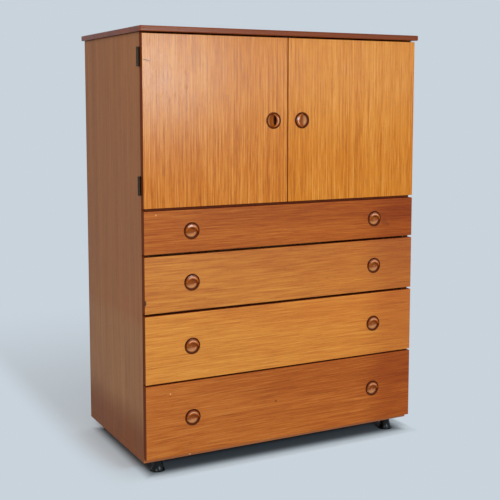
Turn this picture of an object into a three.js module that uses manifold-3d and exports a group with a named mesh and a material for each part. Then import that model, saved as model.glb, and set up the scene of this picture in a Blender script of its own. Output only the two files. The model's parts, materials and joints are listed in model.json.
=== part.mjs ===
// A chifforobe: a two-door cupboard over four full-width drawers, veneered boards on four moulded feet.
// Millimetres, +Z up, +X to the viewer's right, +Y to the back.
// The origin is under the middle of the whole piece, on the floor.

import * as THREE from 'three';
import { mergeVertices } from 'three/addons/utils/BufferGeometryUtils.js';
import Module from 'manifold-3d';

const wasm = await Module();
wasm.setup();

// Clearances
const SEAT_GAP = 0.3;
const FRONT_GAP = 1.2;
const SLIDE_GAP = 0.6;
const SIDE_PLAY = 3;
const BORE_PLAY = 0.3;
const PIN_PLAY = 0.3;
const WELD = 0.0001;
const CUT_REACH = 15;
const BORE_END_GAP = 0.5;

// Carcass
const FOOT_HEIGHT = 35;
const BODY_WIDTH = 822;
const BODY_DEPTH = 428;
const BOARD = 18;
const TOP_THICKNESS = 14;
const TOP_SIDE_OVERHANG = 7;
const TOP_FRONT_OVERHANG = 7;
const TOP_BACK_OVERHANG = 8;
const TOP_EASE = 2.5;
const HOUSING_DEPTH = 6;
const BACK_THICKNESS = 3.5;
const BACK_INSET = 6;
const SHELF_SETBACK = 42;

// Doors and drawer fronts
const FRONT_THICKNESS = 16.8;
const FRONT_EASE = 1;
const FRONT_RISE = 12;
const DOOR_HEIGHT = 433;
const DOOR_MEETING_GAP = 3;
const DOOR_TOP_GAP = 4;
const DOOR_DRAWER_GAP = 7;
const DRAWER_1_HEIGHT = 109;
const DRAWER_2_HEIGHT = 145;
const DRAWER_3_HEIGHT = 176.5;
const DRAWER_4_HEIGHT = 193;
const DRAWER_GAP = 6;
const DRAWER_GAP_LOW = 4.5;

// Drawer boxes
const BOX_END_SPACE = 29;
const BOX_BOARD = 12;
const BOX_LIFT = 21;
const BOX_DROP = 12;
const BOTTOM_THICKNESS = 4;
const GROOVE_DEPTH = 5;
const GROOVE_RISE = 8;
const BOX_BACK_DROP = 8;

// Drawer runners
const RUNNER_WIDTH = 22;
const RUNNER_HEIGHT = 14;
const RUNNER_SETBACK = 6;
const RUNNER_END_SPACE = 22;

// Round finger pulls
const PULL_RADIUS = 22;
const PULL_CROWN = 4.4;
const PULL_RIM_WIDTH = 3;
const PULL_BODY_DEPTH = 13;
const PULL_RIM_SEAT = 0.3;
const SCOOP_WALL = 2;
const SCOOP_HALF_HEIGHT = 14.5;
const SCOOP_HALF_DEPTH = 10;
const SCOOP_OFFSET = 3.5;
const DRAWER_PULL_SPACING = 562;
const DOOR_PULL_SPACING = 87;

// Hinges
const HINGE_LENGTH = 48;
const HINGE_INSET = 57;
const BARREL_RADIUS = 4;
const BARREL_STANDOFF = 4.3;
const PIN_RADIUS = 1.7;
const LEAF_THICKNESS = 1.5;
const LEAF_WIDTH = 15;

// Magnetic catch
const CATCH_WIDTH = 56;
const CATCH_DEPTH = 24;
const CATCH_HEIGHT = 15;
const CATCH_PLAY = 0.6;
const CATCH_EASE = 2;
const STRIKE_WIDTH = 18;
const STRIKE_HEIGHT = 12;
const STRIKE_THICKNESS = 1.2;
const STRIKE_SPACING = 30;
const STRIKE_DROP = 2;

// Feet
const FOOT_BASE_RADIUS = 20;
const FOOT_TOP_RADIUS = 15;
const FOOT_WAIST_RADIUS = 12.5;
const FOOT_RIM_HEIGHT = 3.5;
const FOOT_FLANGE_HEIGHT = 3;
const FOOT_SPIGOT_RADIUS = 4;
const FOOT_SPIGOT_LENGTH = 11;
const FOOT_SIDE_INSET = 49;
const FOOT_END_INSET = 30;

// Proportions without a length
const SCOOP_TILT = -0.5;
const ROUND_SEGMENTS = 20;
const SMALL_SEGMENTS = 12;
const SCOOP_SEGMENTS = 14;
const SCOOP_RINGS = 8;
const PULL_PROFILE_SHARES = [[1, 0.07], [0.96, 0.47], [0.86, 0.79], [0.68, 0.94]];
const FOOT_FLARE_SHARES = [[0.58, 0.16], [0.24, 0.4], [0.06, 0.7]];
const KNUCKLE_SHARES = [0.31, 0.69];
const SHELF_SHARE = 0.5;
const HANDS = [['left', -1], ['right', 1]];

// Derived levels and planes, measured from the floor and from the face of the doors
const HALF_BODY = BODY_WIDTH / 2;
const HALF_INSIDE = HALF_BODY - BOARD;
const CARCASS_FRONT = FRONT_THICKNESS + FRONT_GAP;
const CARCASS_BACK = CARCASS_FRONT + BODY_DEPTH;
const BASE_TOP = FOOT_HEIGHT + BOARD;
const FRONT_HEIGHTS = [DRAWER_1_HEIGHT, DRAWER_2_HEIGHT, DRAWER_3_HEIGHT, DRAWER_4_HEIGHT];
const GAPS_BELOW = [DRAWER_GAP, DRAWER_GAP, DRAWER_GAP_LOW];
const DRAWER_4_BOTTOM = FOOT_HEIGHT + FRONT_RISE;
const DRAWER_BOTTOMS = [DRAWER_4_BOTTOM];
for (let row = FRONT_HEIGHTS.length - 2; row >= 0; row -= 1) {
  DRAWER_BOTTOMS.unshift(DRAWER_BOTTOMS[0] + FRONT_HEIGHTS[row + 1] + GAPS_BELOW[row]);
}
const DRAWERS_TOP = DRAWER_BOTTOMS[0] + DRAWER_1_HEIGHT;
const DOOR_BOTTOM = DRAWERS_TOP + DOOR_DRAWER_GAP;
const DOOR_TOP = DOOR_BOTTOM + DOOR_HEIGHT;
const TOP_UNDERSIDE = DOOR_TOP + DOOR_TOP_GAP;
const DIVIDER_MIDDLE = DRAWERS_TOP + DOOR_DRAWER_GAP / 2;
const DIVIDER_TOP = DIVIDER_MIDDLE + BOARD / 2;
const DIVIDER_BOTTOM = DIVIDER_MIDDLE - BOARD / 2;
const SHELF_MIDDLE = DIVIDER_TOP + (TOP_UNDERSIDE - DIVIDER_TOP) * SHELF_SHARE;
const SHELF_FRONT = CARCASS_FRONT + SHELF_SETBACK;
const TOP_FRONT = -TOP_FRONT_OVERHANG;
const TOP_BACK = CARCASS_BACK + TOP_BACK_OVERHANG;
const HINGE_X = HALF_BODY + BARREL_STANDOFF;
const HINGE_Y = FRONT_THICKNESS + FRONT_GAP / 2;
const HINGE_LEVELS = [
  ['upper', DOOR_TOP - HINGE_INSET],
  ['lower', DOOR_BOTTOM + HINGE_INSET],
];
const LEAF_LET_IN = LEAF_THICKNESS + SEAT_GAP;
const PULL_BODY_RADIUS = PULL_RADIUS - PULL_RIM_WIDTH;
const PULL_BORE_DEPTH = PULL_BODY_DEPTH + BORE_END_GAP;
const SCOOP_HALF_LENGTH = PULL_BODY_RADIUS - SCOOP_WALL;
const SPIGOT_BORE_DEPTH = FOOT_SPIGOT_LENGTH + BORE_END_GAP;

// Finishes
const finish = (color, roughness, metalness = 0) =>
  new THREE.MeshStandardMaterial({ color, roughness, metalness });
const FINISHES = {
  side: () => finish(0x7d5a3c, 0.45),
  top: () => finish(0x6f3f22, 0.4),
  door: () => finish(0xbd7f45, 0.4),
  redDrawer: () => finish(0x8f4f2a, 0.4),
  goldDrawer: () => finish(0xb0743a, 0.4),
  pull: () => finish(0x6b3217, 0.25),
  innerWood: () => finish(0xb79468, 0.7),
  board: () => finish(0x8a6a48, 0.8),
  hinge: () => finish(0x3a322c, 0.45, 0.8),
  steel: () => finish(0xa8a8a6, 0.4, 0.9),
  plastic: () => finish(0x141416, 0.3),
};

// Joining and cutting
function solidOf(geometry) {
  const bare = geometry.clone();
  bare.deleteAttribute('normal');
  bare.deleteAttribute('uv');
  const merged = mergeVertices(bare, WELD);
  return new wasm.Manifold(new wasm.Mesh({
    numProp: 3,
    vertProperties: new Float32Array(merged.attributes.position.array),
    triVerts: new Uint32Array(merged.index.array),
  }));
}

function geometryOf(solid) {
  const mesh = solid.getMesh();
  const geometry = new THREE.BufferGeometry();
  geometry.setAttribute('position', new THREE.BufferAttribute(mesh.vertProperties.slice(), 3));
  geometry.setIndex(new THREE.BufferAttribute(mesh.triVerts.slice(), 1));
  geometry.computeVertexNormals();
  return geometry;
}

// A plain block between two corners
function block([x0, y0, z0], [x1, y1, z1]) {
  const geometry = new THREE.BoxGeometry(x1 - x0, y1 - y0, z1 - z0);
  geometry.translate((x0 + x1) / 2, (y0 + y1) / 2, (z0 + z1) / 2);
  return geometry;
}

// A block whose edges round its outline, seen from the front, are eased at the front and back face
function easedBlock([x0, y0, z0], [x1, y1, z1], ease) {
  const shape = new THREE.Shape();
  shape.moveTo(x0 + ease, z0 + ease);
  shape.lineTo(x1 - ease, z0 + ease);
  shape.lineTo(x1 - ease, z1 - ease);
  shape.lineTo(x0 + ease, z1 - ease);
  shape.closePath();
  const geometry = new THREE.ExtrudeGeometry(shape, {
    depth: y1 - y0 - 2 * ease,
    bevelEnabled: true,
    bevelThickness: ease,
    bevelSize: ease,
    bevelSegments: 1,
  });
  geometry.rotateX(Math.PI / 2);
  geometry.translate(0, y1 - ease, 0);
  return geometry;
}

// The same easing for a flat board: its outline is seen from above
function easedSlab([x0, y0, z0], [x1, y1, z1], ease) {
  const shape = new THREE.Shape();
  shape.moveTo(x0 + ease, y0 + ease);
  shape.lineTo(x1 - ease, y0 + ease);
  shape.lineTo(x1 - ease, y1 - ease);
  shape.lineTo(x0 + ease, y1 - ease);
  shape.closePath();
  const geometry = new THREE.ExtrudeGeometry(shape, {
    depth: z1 - z0 - 2 * ease,
    bevelEnabled: true,
    bevelThickness: ease,
    bevelSize: ease,
    bevelSegments: 2,
  });
  geometry.translate(0, 0, z0 + ease);
  return geometry;
}

// An upright cylinder between two heights
function upright(radius, x, y, z0, z1, segments) {
  const geometry = new THREE.CylinderGeometry(radius, radius, z1 - z0, segments);
  geometry.rotateX(Math.PI / 2);
  geometry.translate(x, y, (z0 + z1) / 2);
  return geometry;
}

// A round bore sunk into a front from its face
function faceBore(radius, depth, x, z) {
  const reach = depth + PULL_CROWN;
  const geometry = new THREE.CylinderGeometry(radius, radius, reach, ROUND_SEGMENTS);
  geometry.translate(x, depth - reach / 2, z);
  return geometry;
}

function cut(first, ...others) {
  return others.reduce((left, geometry) => left.subtract(solidOf(geometry)), solidOf(first));
}

// A range across the piece, from its lower to its higher end, on the left or the right hand
function mirrored(hand, a, b) {
  return [Math.min(hand * a, hand * b), Math.max(hand * a, hand * b)];
}

const cabinet = new THREE.Group();

function place(name, geometry, look) {
  const mesh = new THREE.Mesh(geometry, FINISHES[look]());
  mesh.name = name;
  cabinet.add(mesh);
  return mesh;
}

// The carcass: two sides stand on the base board and carry the top
function sidePanel(hand) {
  const [x0, x1] = mirrored(hand, HALF_INSIDE, HALF_BODY);
  const panel = block(
    [x0, CARCASS_FRONT, BASE_TOP + SEAT_GAP],
    [x1, CARCASS_BACK, TOP_UNDERSIDE - SEAT_GAP],
  );
  const [h0, h1] = mirrored(hand, HALF_INSIDE - CUT_REACH, HALF_INSIDE + HOUSING_DEPTH);
  const housings = [
    block(
      [h0, CARCASS_FRONT - CUT_REACH, DIVIDER_BOTTOM - SEAT_GAP],
      [h1, CARCASS_BACK + CUT_REACH, DIVIDER_TOP + SEAT_GAP],
    ),
    block(
      [h0, SHELF_FRONT - SEAT_GAP, SHELF_MIDDLE - BOARD / 2 - SEAT_GAP],
      [h1, CARCASS_BACK + CUT_REACH, SHELF_MIDDLE + BOARD / 2 + SEAT_GAP],
    ),
  ];
  const [l0, l1] = mirrored(hand, HALF_BODY - LEAF_WIDTH - SEAT_GAP, HALF_BODY + CUT_REACH);
  const rebates = HINGE_LEVELS.map(([, level]) => block(
    [l0, CARCASS_FRONT - CUT_REACH, level - HINGE_LENGTH / 2 - SEAT_GAP],
    [l1, CARCASS_FRONT + LEAF_LET_IN, level + HINGE_LENGTH / 2 + SEAT_GAP],
  ));
  return geometryOf(cut(panel, ...housings, ...rebates));
}

place('cabinet_side_left', sidePanel(-1), 'side');
place('cabinet_side_right', sidePanel(1), 'side');

place('cabinet_top', easedSlab(
  [-HALF_BODY - TOP_SIDE_OVERHANG, TOP_FRONT, TOP_UNDERSIDE],
  [HALF_BODY + TOP_SIDE_OVERHANG, TOP_BACK, TOP_UNDERSIDE + TOP_THICKNESS],
  TOP_EASE,
), 'top');

const FOOT_SPOTS = [];
for (const [end, y] of [
  ['front', CARCASS_FRONT + FOOT_END_INSET],
  ['back', CARCASS_BACK - FOOT_END_INSET],
]) {
  for (const [side, hand] of HANDS) {
    FOOT_SPOTS.push([`foot_${end}_${side}`, hand * (HALF_BODY - FOOT_SIDE_INSET), y]);
  }
}

place('cabinet_base', geometryOf(cut(
  block([-HALF_BODY, CARCASS_FRONT, FOOT_HEIGHT], [HALF_BODY, CARCASS_BACK, BASE_TOP]),
  ...FOOT_SPOTS.map(([, x, y]) => upright(
    FOOT_SPIGOT_RADIUS + BORE_PLAY,
    x,
    y,
    FOOT_HEIGHT - CUT_REACH,
    FOOT_HEIGHT + SPIGOT_BORE_DEPTH,
    SMALL_SEGMENTS,
  )),
)), 'side');

place('cabinet_back', block(
  [-HALF_BODY + BACK_INSET, CARCASS_BACK + SEAT_GAP, FOOT_HEIGHT + BACK_INSET],
  [HALF_BODY - BACK_INSET, CARCASS_BACK + SEAT_GAP + BACK_THICKNESS, TOP_UNDERSIDE - SEAT_GAP],
), 'board');

const HOUSED_HALF = HALF_INSIDE + HOUSING_DEPTH - SEAT_GAP;
place('cabinet_divider', block(
  [-HOUSED_HALF, CARCASS_FRONT, DIVIDER_BOTTOM],
  [HOUSED_HALF, CARCASS_BACK, DIVIDER_TOP],
), 'innerWood');
place('cupboard_shelf', block(
  [-HOUSED_HALF, SHELF_FRONT, SHELF_MIDDLE - BOARD / 2],
  [HOUSED_HALF, CARCASS_BACK, SHELF_MIDDLE + BOARD / 2],
), 'innerWood');

// The feet: a flared moulding with a flange under the base board and a spigot let into it
function foot(x, y) {
  const flareTop = FOOT_HEIGHT - FOOT_FLANGE_HEIGHT - SEAT_GAP;
  const flareHeight = flareTop - FOOT_RIM_HEIGHT;
  const flareReach = FOOT_BASE_RADIUS - FOOT_WAIST_RADIUS;
  const profile = [
    [0, 0],
    [FOOT_BASE_RADIUS, 0],
    [FOOT_BASE_RADIUS, FOOT_RIM_HEIGHT],
    ...FOOT_FLARE_SHARES.map(([out, up]) => [
      FOOT_WAIST_RADIUS + flareReach * out,
      FOOT_RIM_HEIGHT + flareHeight * up,
    ]),
    [FOOT_WAIST_RADIUS, flareTop],
    [FOOT_TOP_RADIUS, flareTop],
    [FOOT_TOP_RADIUS, FOOT_HEIGHT - SEAT_GAP],
    [FOOT_SPIGOT_RADIUS, FOOT_HEIGHT - SEAT_GAP],
    [FOOT_SPIGOT_RADIUS, FOOT_HEIGHT + FOOT_SPIGOT_LENGTH],
    [0, FOOT_HEIGHT + FOOT_SPIGOT_LENGTH],
  ];
  const geometry = new THREE.LatheGeometry(
    profile.map(([r, z]) => new THREE.Vector2(r, z)),
    ROUND_SEGMENTS,
  );
  geometry.rotateX(Math.PI / 2);
  geometry.translate(x, y, 0);
  return geometryOf(solidOf(geometry));
}

for (const [name, x, y] of FOOT_SPOTS) {
  place(name, foot(x, y), 'plastic');
}

// A finger pull: a turned disc set in a bore, with an oval scoop that runs under its lip.
// lip is the angle, seen from the front, of the side that the fingers hook behind.
function pull(x, z, lip) {
  const crownRise = PULL_CROWN - PULL_RIM_SEAT;
  const profile = [
    [0, -PULL_BODY_DEPTH],
    [PULL_BODY_RADIUS, -PULL_BODY_DEPTH],
    [PULL_BODY_RADIUS, PULL_RIM_SEAT],
    [PULL_RADIUS, PULL_RIM_SEAT],
    ...PULL_PROFILE_SHARES.map(([out, up]) => [
      PULL_RADIUS * out,
      PULL_RIM_SEAT + crownRise * up,
    ]),
    [0, PULL_CROWN],
  ];
  const disc = new THREE.LatheGeometry(
    profile.map(([r, w]) => new THREE.Vector2(r, w)),
    ROUND_SEGMENTS,
  );
  disc.rotateX(Math.PI);
  const scoop = new THREE.SphereGeometry(1, SCOOP_SEGMENTS, SCOOP_RINGS);
  scoop.scale(SCOOP_HALF_LENGTH, SCOOP_HALF_DEPTH, SCOOP_HALF_HEIGHT);
  scoop.rotateX(SCOOP_TILT);
  scoop.translate(0, -PULL_RIM_SEAT, -SCOOP_OFFSET);
  const geometry = geometryOf(cut(disc, scoop));
  geometry.rotateY(Math.PI / 2 - lip);
  geometry.translate(x, 0, z);
  return geometry;
}

// Doors: hung on the outer edge, with the pull beside the meeting edge
const STRIKE_BACK = FRONT_THICKNESS + SEAT_GAP + STRIKE_THICKNESS;

for (const [side, hand] of HANDS) {
  const [x0, x1] = mirrored(hand, DOOR_MEETING_GAP / 2, HALF_BODY);
  const pullX = hand * DOOR_PULL_SPACING / 2;
  const pullZ = (DOOR_BOTTOM + DOOR_TOP) / 2;
  const [l0, l1] = mirrored(hand, HALF_BODY - LEAF_WIDTH - SEAT_GAP, HALF_BODY + CUT_REACH);
  place(`door_${side}`, geometryOf(cut(
    easedBlock([x0, 0, DOOR_BOTTOM], [x1, FRONT_THICKNESS, DOOR_TOP], FRONT_EASE),
    faceBore(PULL_BODY_RADIUS + BORE_PLAY, PULL_BORE_DEPTH, pullX, pullZ),
    ...HINGE_LEVELS.map(([, level]) => block(
      [l0, FRONT_THICKNESS - LEAF_LET_IN, level - HINGE_LENGTH / 2 - SEAT_GAP],
      [l1, FRONT_THICKNESS + CUT_REACH, level + HINGE_LENGTH / 2 + SEAT_GAP],
    )),
  )), 'door');
  place(`door_pull_${side}`, pull(pullX, pullZ, hand < 0 ? 0 : Math.PI), 'pull');

  const strikeX = hand * STRIKE_SPACING / 2;
  const strikeTop = DOOR_TOP - STRIKE_DROP;
  place(`strike_plate_${side}`, block(
    [strikeX - STRIKE_WIDTH / 2, FRONT_THICKNESS + SEAT_GAP, strikeTop - STRIKE_HEIGHT],
    [strikeX + STRIKE_WIDTH / 2, STRIKE_BACK, strikeTop],
  ), 'steel');
}

// The catch under the top that holds both doors
const CATCH_FRONT = STRIKE_BACK + CATCH_PLAY;
place('door_catch', easedBlock(
  [-CATCH_WIDTH / 2, CATCH_FRONT, TOP_UNDERSIDE - SEAT_GAP - CATCH_HEIGHT],
  [CATCH_WIDTH / 2, CATCH_FRONT + CATCH_DEPTH, TOP_UNDERSIDE - SEAT_GAP],
  CATCH_EASE,
), 'plastic');

// Hinges: the frame leaf has the end knuckles and the pin, and the door leaf the middle knuckle
for (const [side, hand] of HANDS) {
  const x = hand * HINGE_X;
  for (const [row, level] of HINGE_LEVELS) {
    const bottom = level - HINGE_LENGTH / 2;
    const top = level + HINGE_LENGTH / 2;
    const [low, high] = KNUCKLE_SHARES.map((share) => bottom + HINGE_LENGTH * share);
    const [l0, l1] = mirrored(hand, HALF_BODY - LEAF_WIDTH, HINGE_X);
    const frameLeaf = block(
      [l0, CARCASS_FRONT, bottom],
      [l1, CARCASS_FRONT + LEAF_THICKNESS, top],
    );
    const doorLeaf = block(
      [l0, FRONT_THICKNESS - LEAF_THICKNESS, bottom],
      [l1, FRONT_THICKNESS, top],
    );
    const gapBarrel = (z0, z1) =>
      upright(BARREL_RADIUS + PIN_PLAY, x, HINGE_Y, z0, z1, SMALL_SEGMENTS);
    const barrel = (z0, z1) => upright(BARREL_RADIUS, x, HINGE_Y, z0, z1, SMALL_SEGMENTS);
    const frame = cut(frameLeaf, gapBarrel(low - SEAT_GAP, high + SEAT_GAP))
      .add(solidOf(barrel(bottom, low - SEAT_GAP)))
      .add(solidOf(barrel(high + SEAT_GAP, top)))
      .add(solidOf(upright(PIN_RADIUS, x, HINGE_Y, bottom, top, SMALL_SEGMENTS)));
    const door = cut(
      doorLeaf,
      gapBarrel(bottom - SEAT_GAP, low),
      gapBarrel(high, top + SEAT_GAP),
    )
      .add(solidOf(barrel(low, high)))
      .subtract(solidOf(upright(
        PIN_RADIUS + PIN_PLAY, x, HINGE_Y, bottom - SEAT_GAP, top + SEAT_GAP, SMALL_SEGMENTS,
      )));
    place(`hinge_${row}_${side}_frame_leaf`, geometryOf(frame), 'hinge');
    place(`hinge_${row}_${side}_door_leaf`, geometryOf(door), 'hinge');
  }
}

// Drawers: an overlaid front, two sides, a back and a grooved-in bottom.
// The upper three ride on runners fixed to the sides, and the lowest rides on the base board.
const BOX_FRONT = FRONT_THICKNESS + SEAT_GAP;
const BOX_BACK = CARCASS_BACK - BOX_END_SPACE;
const BOX_DEPTH = BOX_BACK - BOX_FRONT;
const BOX_HALF = HALF_INSIDE - SIDE_PLAY;
const BOX_HALF_INSIDE = BOX_HALF - BOX_BOARD;
const GROOVE_HALF = BOX_HALF_INSIDE + GROOVE_DEPTH;

// A drawer side is a strip with the groove for the bottom, drawn in section and run to the back
function drawerSide(hand, z0, z1) {
  const grooveBottom = z0 + GROOVE_RISE;
  const grooveTop = grooveBottom + BOTTOM_THICKNESS + 2 * SEAT_GAP;
  const shape = new THREE.Shape();
  [
    [BOX_HALF_INSIDE, z0],
    [BOX_HALF, z0],
    [BOX_HALF, z1],
    [BOX_HALF_INSIDE, z1],
    [BOX_HALF_INSIDE, grooveTop],
    [GROOVE_HALF, grooveTop],
    [GROOVE_HALF, grooveBottom],
    [BOX_HALF_INSIDE, grooveBottom],
  ].forEach(([x, z], corner) => {
    if (corner === 0) {
      shape.moveTo(hand * x, z);
    } else {
      shape.lineTo(hand * x, z);
    }
  });
  shape.closePath();
  const geometry = new THREE.ExtrudeGeometry(shape, { depth: BOX_DEPTH, bevelEnabled: false });
  geometry.rotateX(Math.PI / 2);
  geometry.translate(0, BOX_BACK, 0);
  return geometryOf(solidOf(geometry));
}

const FRONT_LOOKS = ['redDrawer', 'goldDrawer', 'goldDrawer', 'redDrawer'];

FRONT_HEIGHTS.forEach((height, row) => {
  const number = row + 1;
  const lowest = number === FRONT_HEIGHTS.length;
  const frontBottom = DRAWER_BOTTOMS[row];
  const frontTop = frontBottom + height;
  const boxBottom = lowest ? BASE_TOP + SLIDE_GAP : frontBottom + BOX_LIFT;
  const boxTop = frontTop - BOX_DROP;
  const pullZ = (frontBottom + frontTop) / 2;
  const pullXs = HANDS.map(([side, hand]) => [side, hand * DRAWER_PULL_SPACING / 2]);
  const bottomZ0 = boxBottom + GROOVE_RISE + SEAT_GAP;
  const bottomZ1 = bottomZ0 + BOTTOM_THICKNESS;
  const grooveFront = FRONT_THICKNESS - GROOVE_DEPTH;

  place(`drawer_${number}_front`, geometryOf(cut(
    easedBlock(
      [-HALF_BODY, 0, frontBottom],
      [HALF_BODY, FRONT_THICKNESS, frontTop],
      FRONT_EASE,
    ),
    ...pullXs.map(([, x]) => faceBore(PULL_BODY_RADIUS + BORE_PLAY, PULL_BORE_DEPTH, x, pullZ)),
    block(
      [-GROOVE_HALF, grooveFront, bottomZ0 - SEAT_GAP],
      [GROOVE_HALF, BOX_FRONT, bottomZ1 + SEAT_GAP],
    ),
  )), FRONT_LOOKS[row]);
  for (const [side, x] of pullXs) {
    place(`drawer_${number}_pull_${side}`, pull(x, pullZ, Math.PI / 2), 'pull');
  }
  for (const [side, hand] of HANDS) {
    place(`drawer_${number}_side_${side}`, drawerSide(hand, boxBottom, boxTop), 'innerWood');
  }
  place(`drawer_${number}_back`, block(
    [-BOX_HALF_INSIDE + SEAT_GAP, BOX_BACK - BOX_BOARD, bottomZ1 + SEAT_GAP],
    [BOX_HALF_INSIDE - SEAT_GAP, BOX_BACK, boxTop - BOX_BACK_DROP],
  ), 'innerWood');
  place(`drawer_${number}_bottom`, block(
    [-GROOVE_HALF + SEAT_GAP, grooveFront + SEAT_GAP, bottomZ0],
    [GROOVE_HALF - SEAT_GAP, BOX_BACK, bottomZ1],
  ), 'board');

  if (!lowest) {
    const runnerTop = boxBottom - SLIDE_GAP;
    for (const [side, hand] of HANDS) {
      const [x0, x1] = mirrored(hand, HALF_INSIDE - RUNNER_WIDTH, HALF_INSIDE - SEAT_GAP);
      place(`runner_${number}_${side}`, block(
        [x0, CARCASS_FRONT + RUNNER_SETBACK, runnerTop - RUNNER_HEIGHT],
        [x1, CARCASS_BACK - RUNNER_END_SPACE, runnerTop],
      ), 'innerWood');
    }
  }
});

// The top board's front and back edges are equally far from the origin
cabinet.position.y = -(TOP_FRONT + TOP_BACK) / 2;
const chifforobe = new THREE.Group();
chifforobe.add(cabinet);

export default chifforobe;
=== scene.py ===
"""Dressed model of a chifforobe: a veneered two-door cupboard over four drawers, on four flared feet.

Lengths are metres. X runs to the viewer's right, Y to the back, and Z up from the floor.
"""

import json
import logging
import math
from dataclasses import dataclass, replace
from enum import Enum
from typing import Iterable, Sequence

import bmesh
import bpy
from mathutils import Matrix, Vector

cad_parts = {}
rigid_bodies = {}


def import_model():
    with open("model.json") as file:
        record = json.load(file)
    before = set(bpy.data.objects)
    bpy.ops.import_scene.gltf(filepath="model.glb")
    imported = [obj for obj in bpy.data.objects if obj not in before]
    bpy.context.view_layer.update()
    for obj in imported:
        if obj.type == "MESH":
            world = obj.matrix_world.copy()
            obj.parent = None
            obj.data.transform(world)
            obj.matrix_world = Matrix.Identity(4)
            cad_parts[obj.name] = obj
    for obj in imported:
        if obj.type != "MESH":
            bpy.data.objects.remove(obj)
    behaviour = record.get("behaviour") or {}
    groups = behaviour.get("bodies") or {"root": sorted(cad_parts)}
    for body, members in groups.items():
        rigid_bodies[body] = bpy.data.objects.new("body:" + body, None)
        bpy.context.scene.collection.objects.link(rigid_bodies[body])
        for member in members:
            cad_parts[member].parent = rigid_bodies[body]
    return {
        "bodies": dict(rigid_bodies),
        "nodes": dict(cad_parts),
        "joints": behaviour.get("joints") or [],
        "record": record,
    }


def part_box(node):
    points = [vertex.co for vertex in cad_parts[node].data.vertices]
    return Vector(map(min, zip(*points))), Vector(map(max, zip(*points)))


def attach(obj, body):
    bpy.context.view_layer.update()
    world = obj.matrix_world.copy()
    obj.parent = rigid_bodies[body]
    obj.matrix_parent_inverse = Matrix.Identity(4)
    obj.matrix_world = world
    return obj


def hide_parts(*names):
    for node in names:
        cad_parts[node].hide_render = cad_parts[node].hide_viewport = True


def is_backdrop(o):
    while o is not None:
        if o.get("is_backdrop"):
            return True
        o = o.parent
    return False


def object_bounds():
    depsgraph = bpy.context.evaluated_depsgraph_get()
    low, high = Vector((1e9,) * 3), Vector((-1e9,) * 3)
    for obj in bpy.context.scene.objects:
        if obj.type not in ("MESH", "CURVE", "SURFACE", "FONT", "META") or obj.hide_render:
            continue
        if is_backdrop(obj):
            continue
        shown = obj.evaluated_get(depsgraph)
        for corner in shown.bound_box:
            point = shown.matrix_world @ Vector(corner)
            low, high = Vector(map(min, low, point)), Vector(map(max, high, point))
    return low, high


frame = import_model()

LOG = logging.getLogger("chifforobe")
MM = 0.001

Colour = tuple[float, float, float]
Point = tuple[float, float, float]
Span = tuple[float, float]
Profile = Sequence[tuple[float, float]]
Stops = Sequence[tuple[float, Colour]]
Draft = bmesh.types.BMesh


class Axis(Enum):
    """One of the three directions of the frame."""

    X = 0
    Y = 1
    Z = 2


class Side(Enum):
    """A side of a board, as an axis and a sign."""

    LEFT = (0, -1)
    RIGHT = (0, 1)
    FRONT = (1, -1)
    BACK = (1, 1)
    BELOW = (2, -1)
    ABOVE = (2, 1)

    @property
    def outward(self) -> Vector:
        """The direction that the side faces."""
        axis, sign = self.value
        return Vector([sign if i == axis else 0 for i in range(3)])


class Body(Enum):
    """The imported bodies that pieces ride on."""

    CABINET = "cabinet"
    DOOR_LEFT = "door_left_leaf"
    DOOR_RIGHT = "door_right_leaf"
    DRAWER_1 = "drawer_1"
    DRAWER_2 = "drawer_2"
    DRAWER_3 = "drawer_3"
    DRAWER_4 = "drawer_4"


class Hand(Enum):
    """The viewer's left or right, with the sense of X and the side that lie that way."""

    LEFT = ("left", -1, Side.LEFT, Side.RIGHT)
    RIGHT = ("right", 1, Side.RIGHT, Side.LEFT)

    def __init__(self, label: str, sign: int, outer: Side, inner: Side) -> None:
        """Names the parts of the value.

        Args:
            label: The hand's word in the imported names.
            sign: The sense of X that leads this way.
            outer: The side that faces this way.
            inner: The side that faces the other way.
        """
        self.label = label
        self.sign = sign
        self.outer = outer
        self.inner = inner

    @property
    def door(self) -> Body:
        """The body of the door on this hand."""
        return Body(f"door_{self.label}_leaf")

    def outer_end(self, low: Vector, high: Vector) -> float:
        """Where a box ends towards this hand."""
        return high.x if self is Hand.RIGHT else low.x

    def inner_end(self, low: Vector, high: Vector) -> float:
        """Where a box ends away from this hand."""
        return low.x if self is Hand.RIGHT else high.x


class Slot(Enum):
    """The record's material slots."""

    SIDE = "side_veneer"
    TOP = "top_veneer"
    DOOR = "door_veneer"
    RED = "red_veneer"
    GOLD = "gold_veneer"
    PULL = "pull_wood"
    INNER = "inner_wood"
    PLY = "drawer_bottom_ply"
    BACK = "back_board"
    HINGE = "hinge_metal"
    STEEL = "strike_steel"
    PLASTIC = "black_plastic"


# Shader arithmetic


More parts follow.
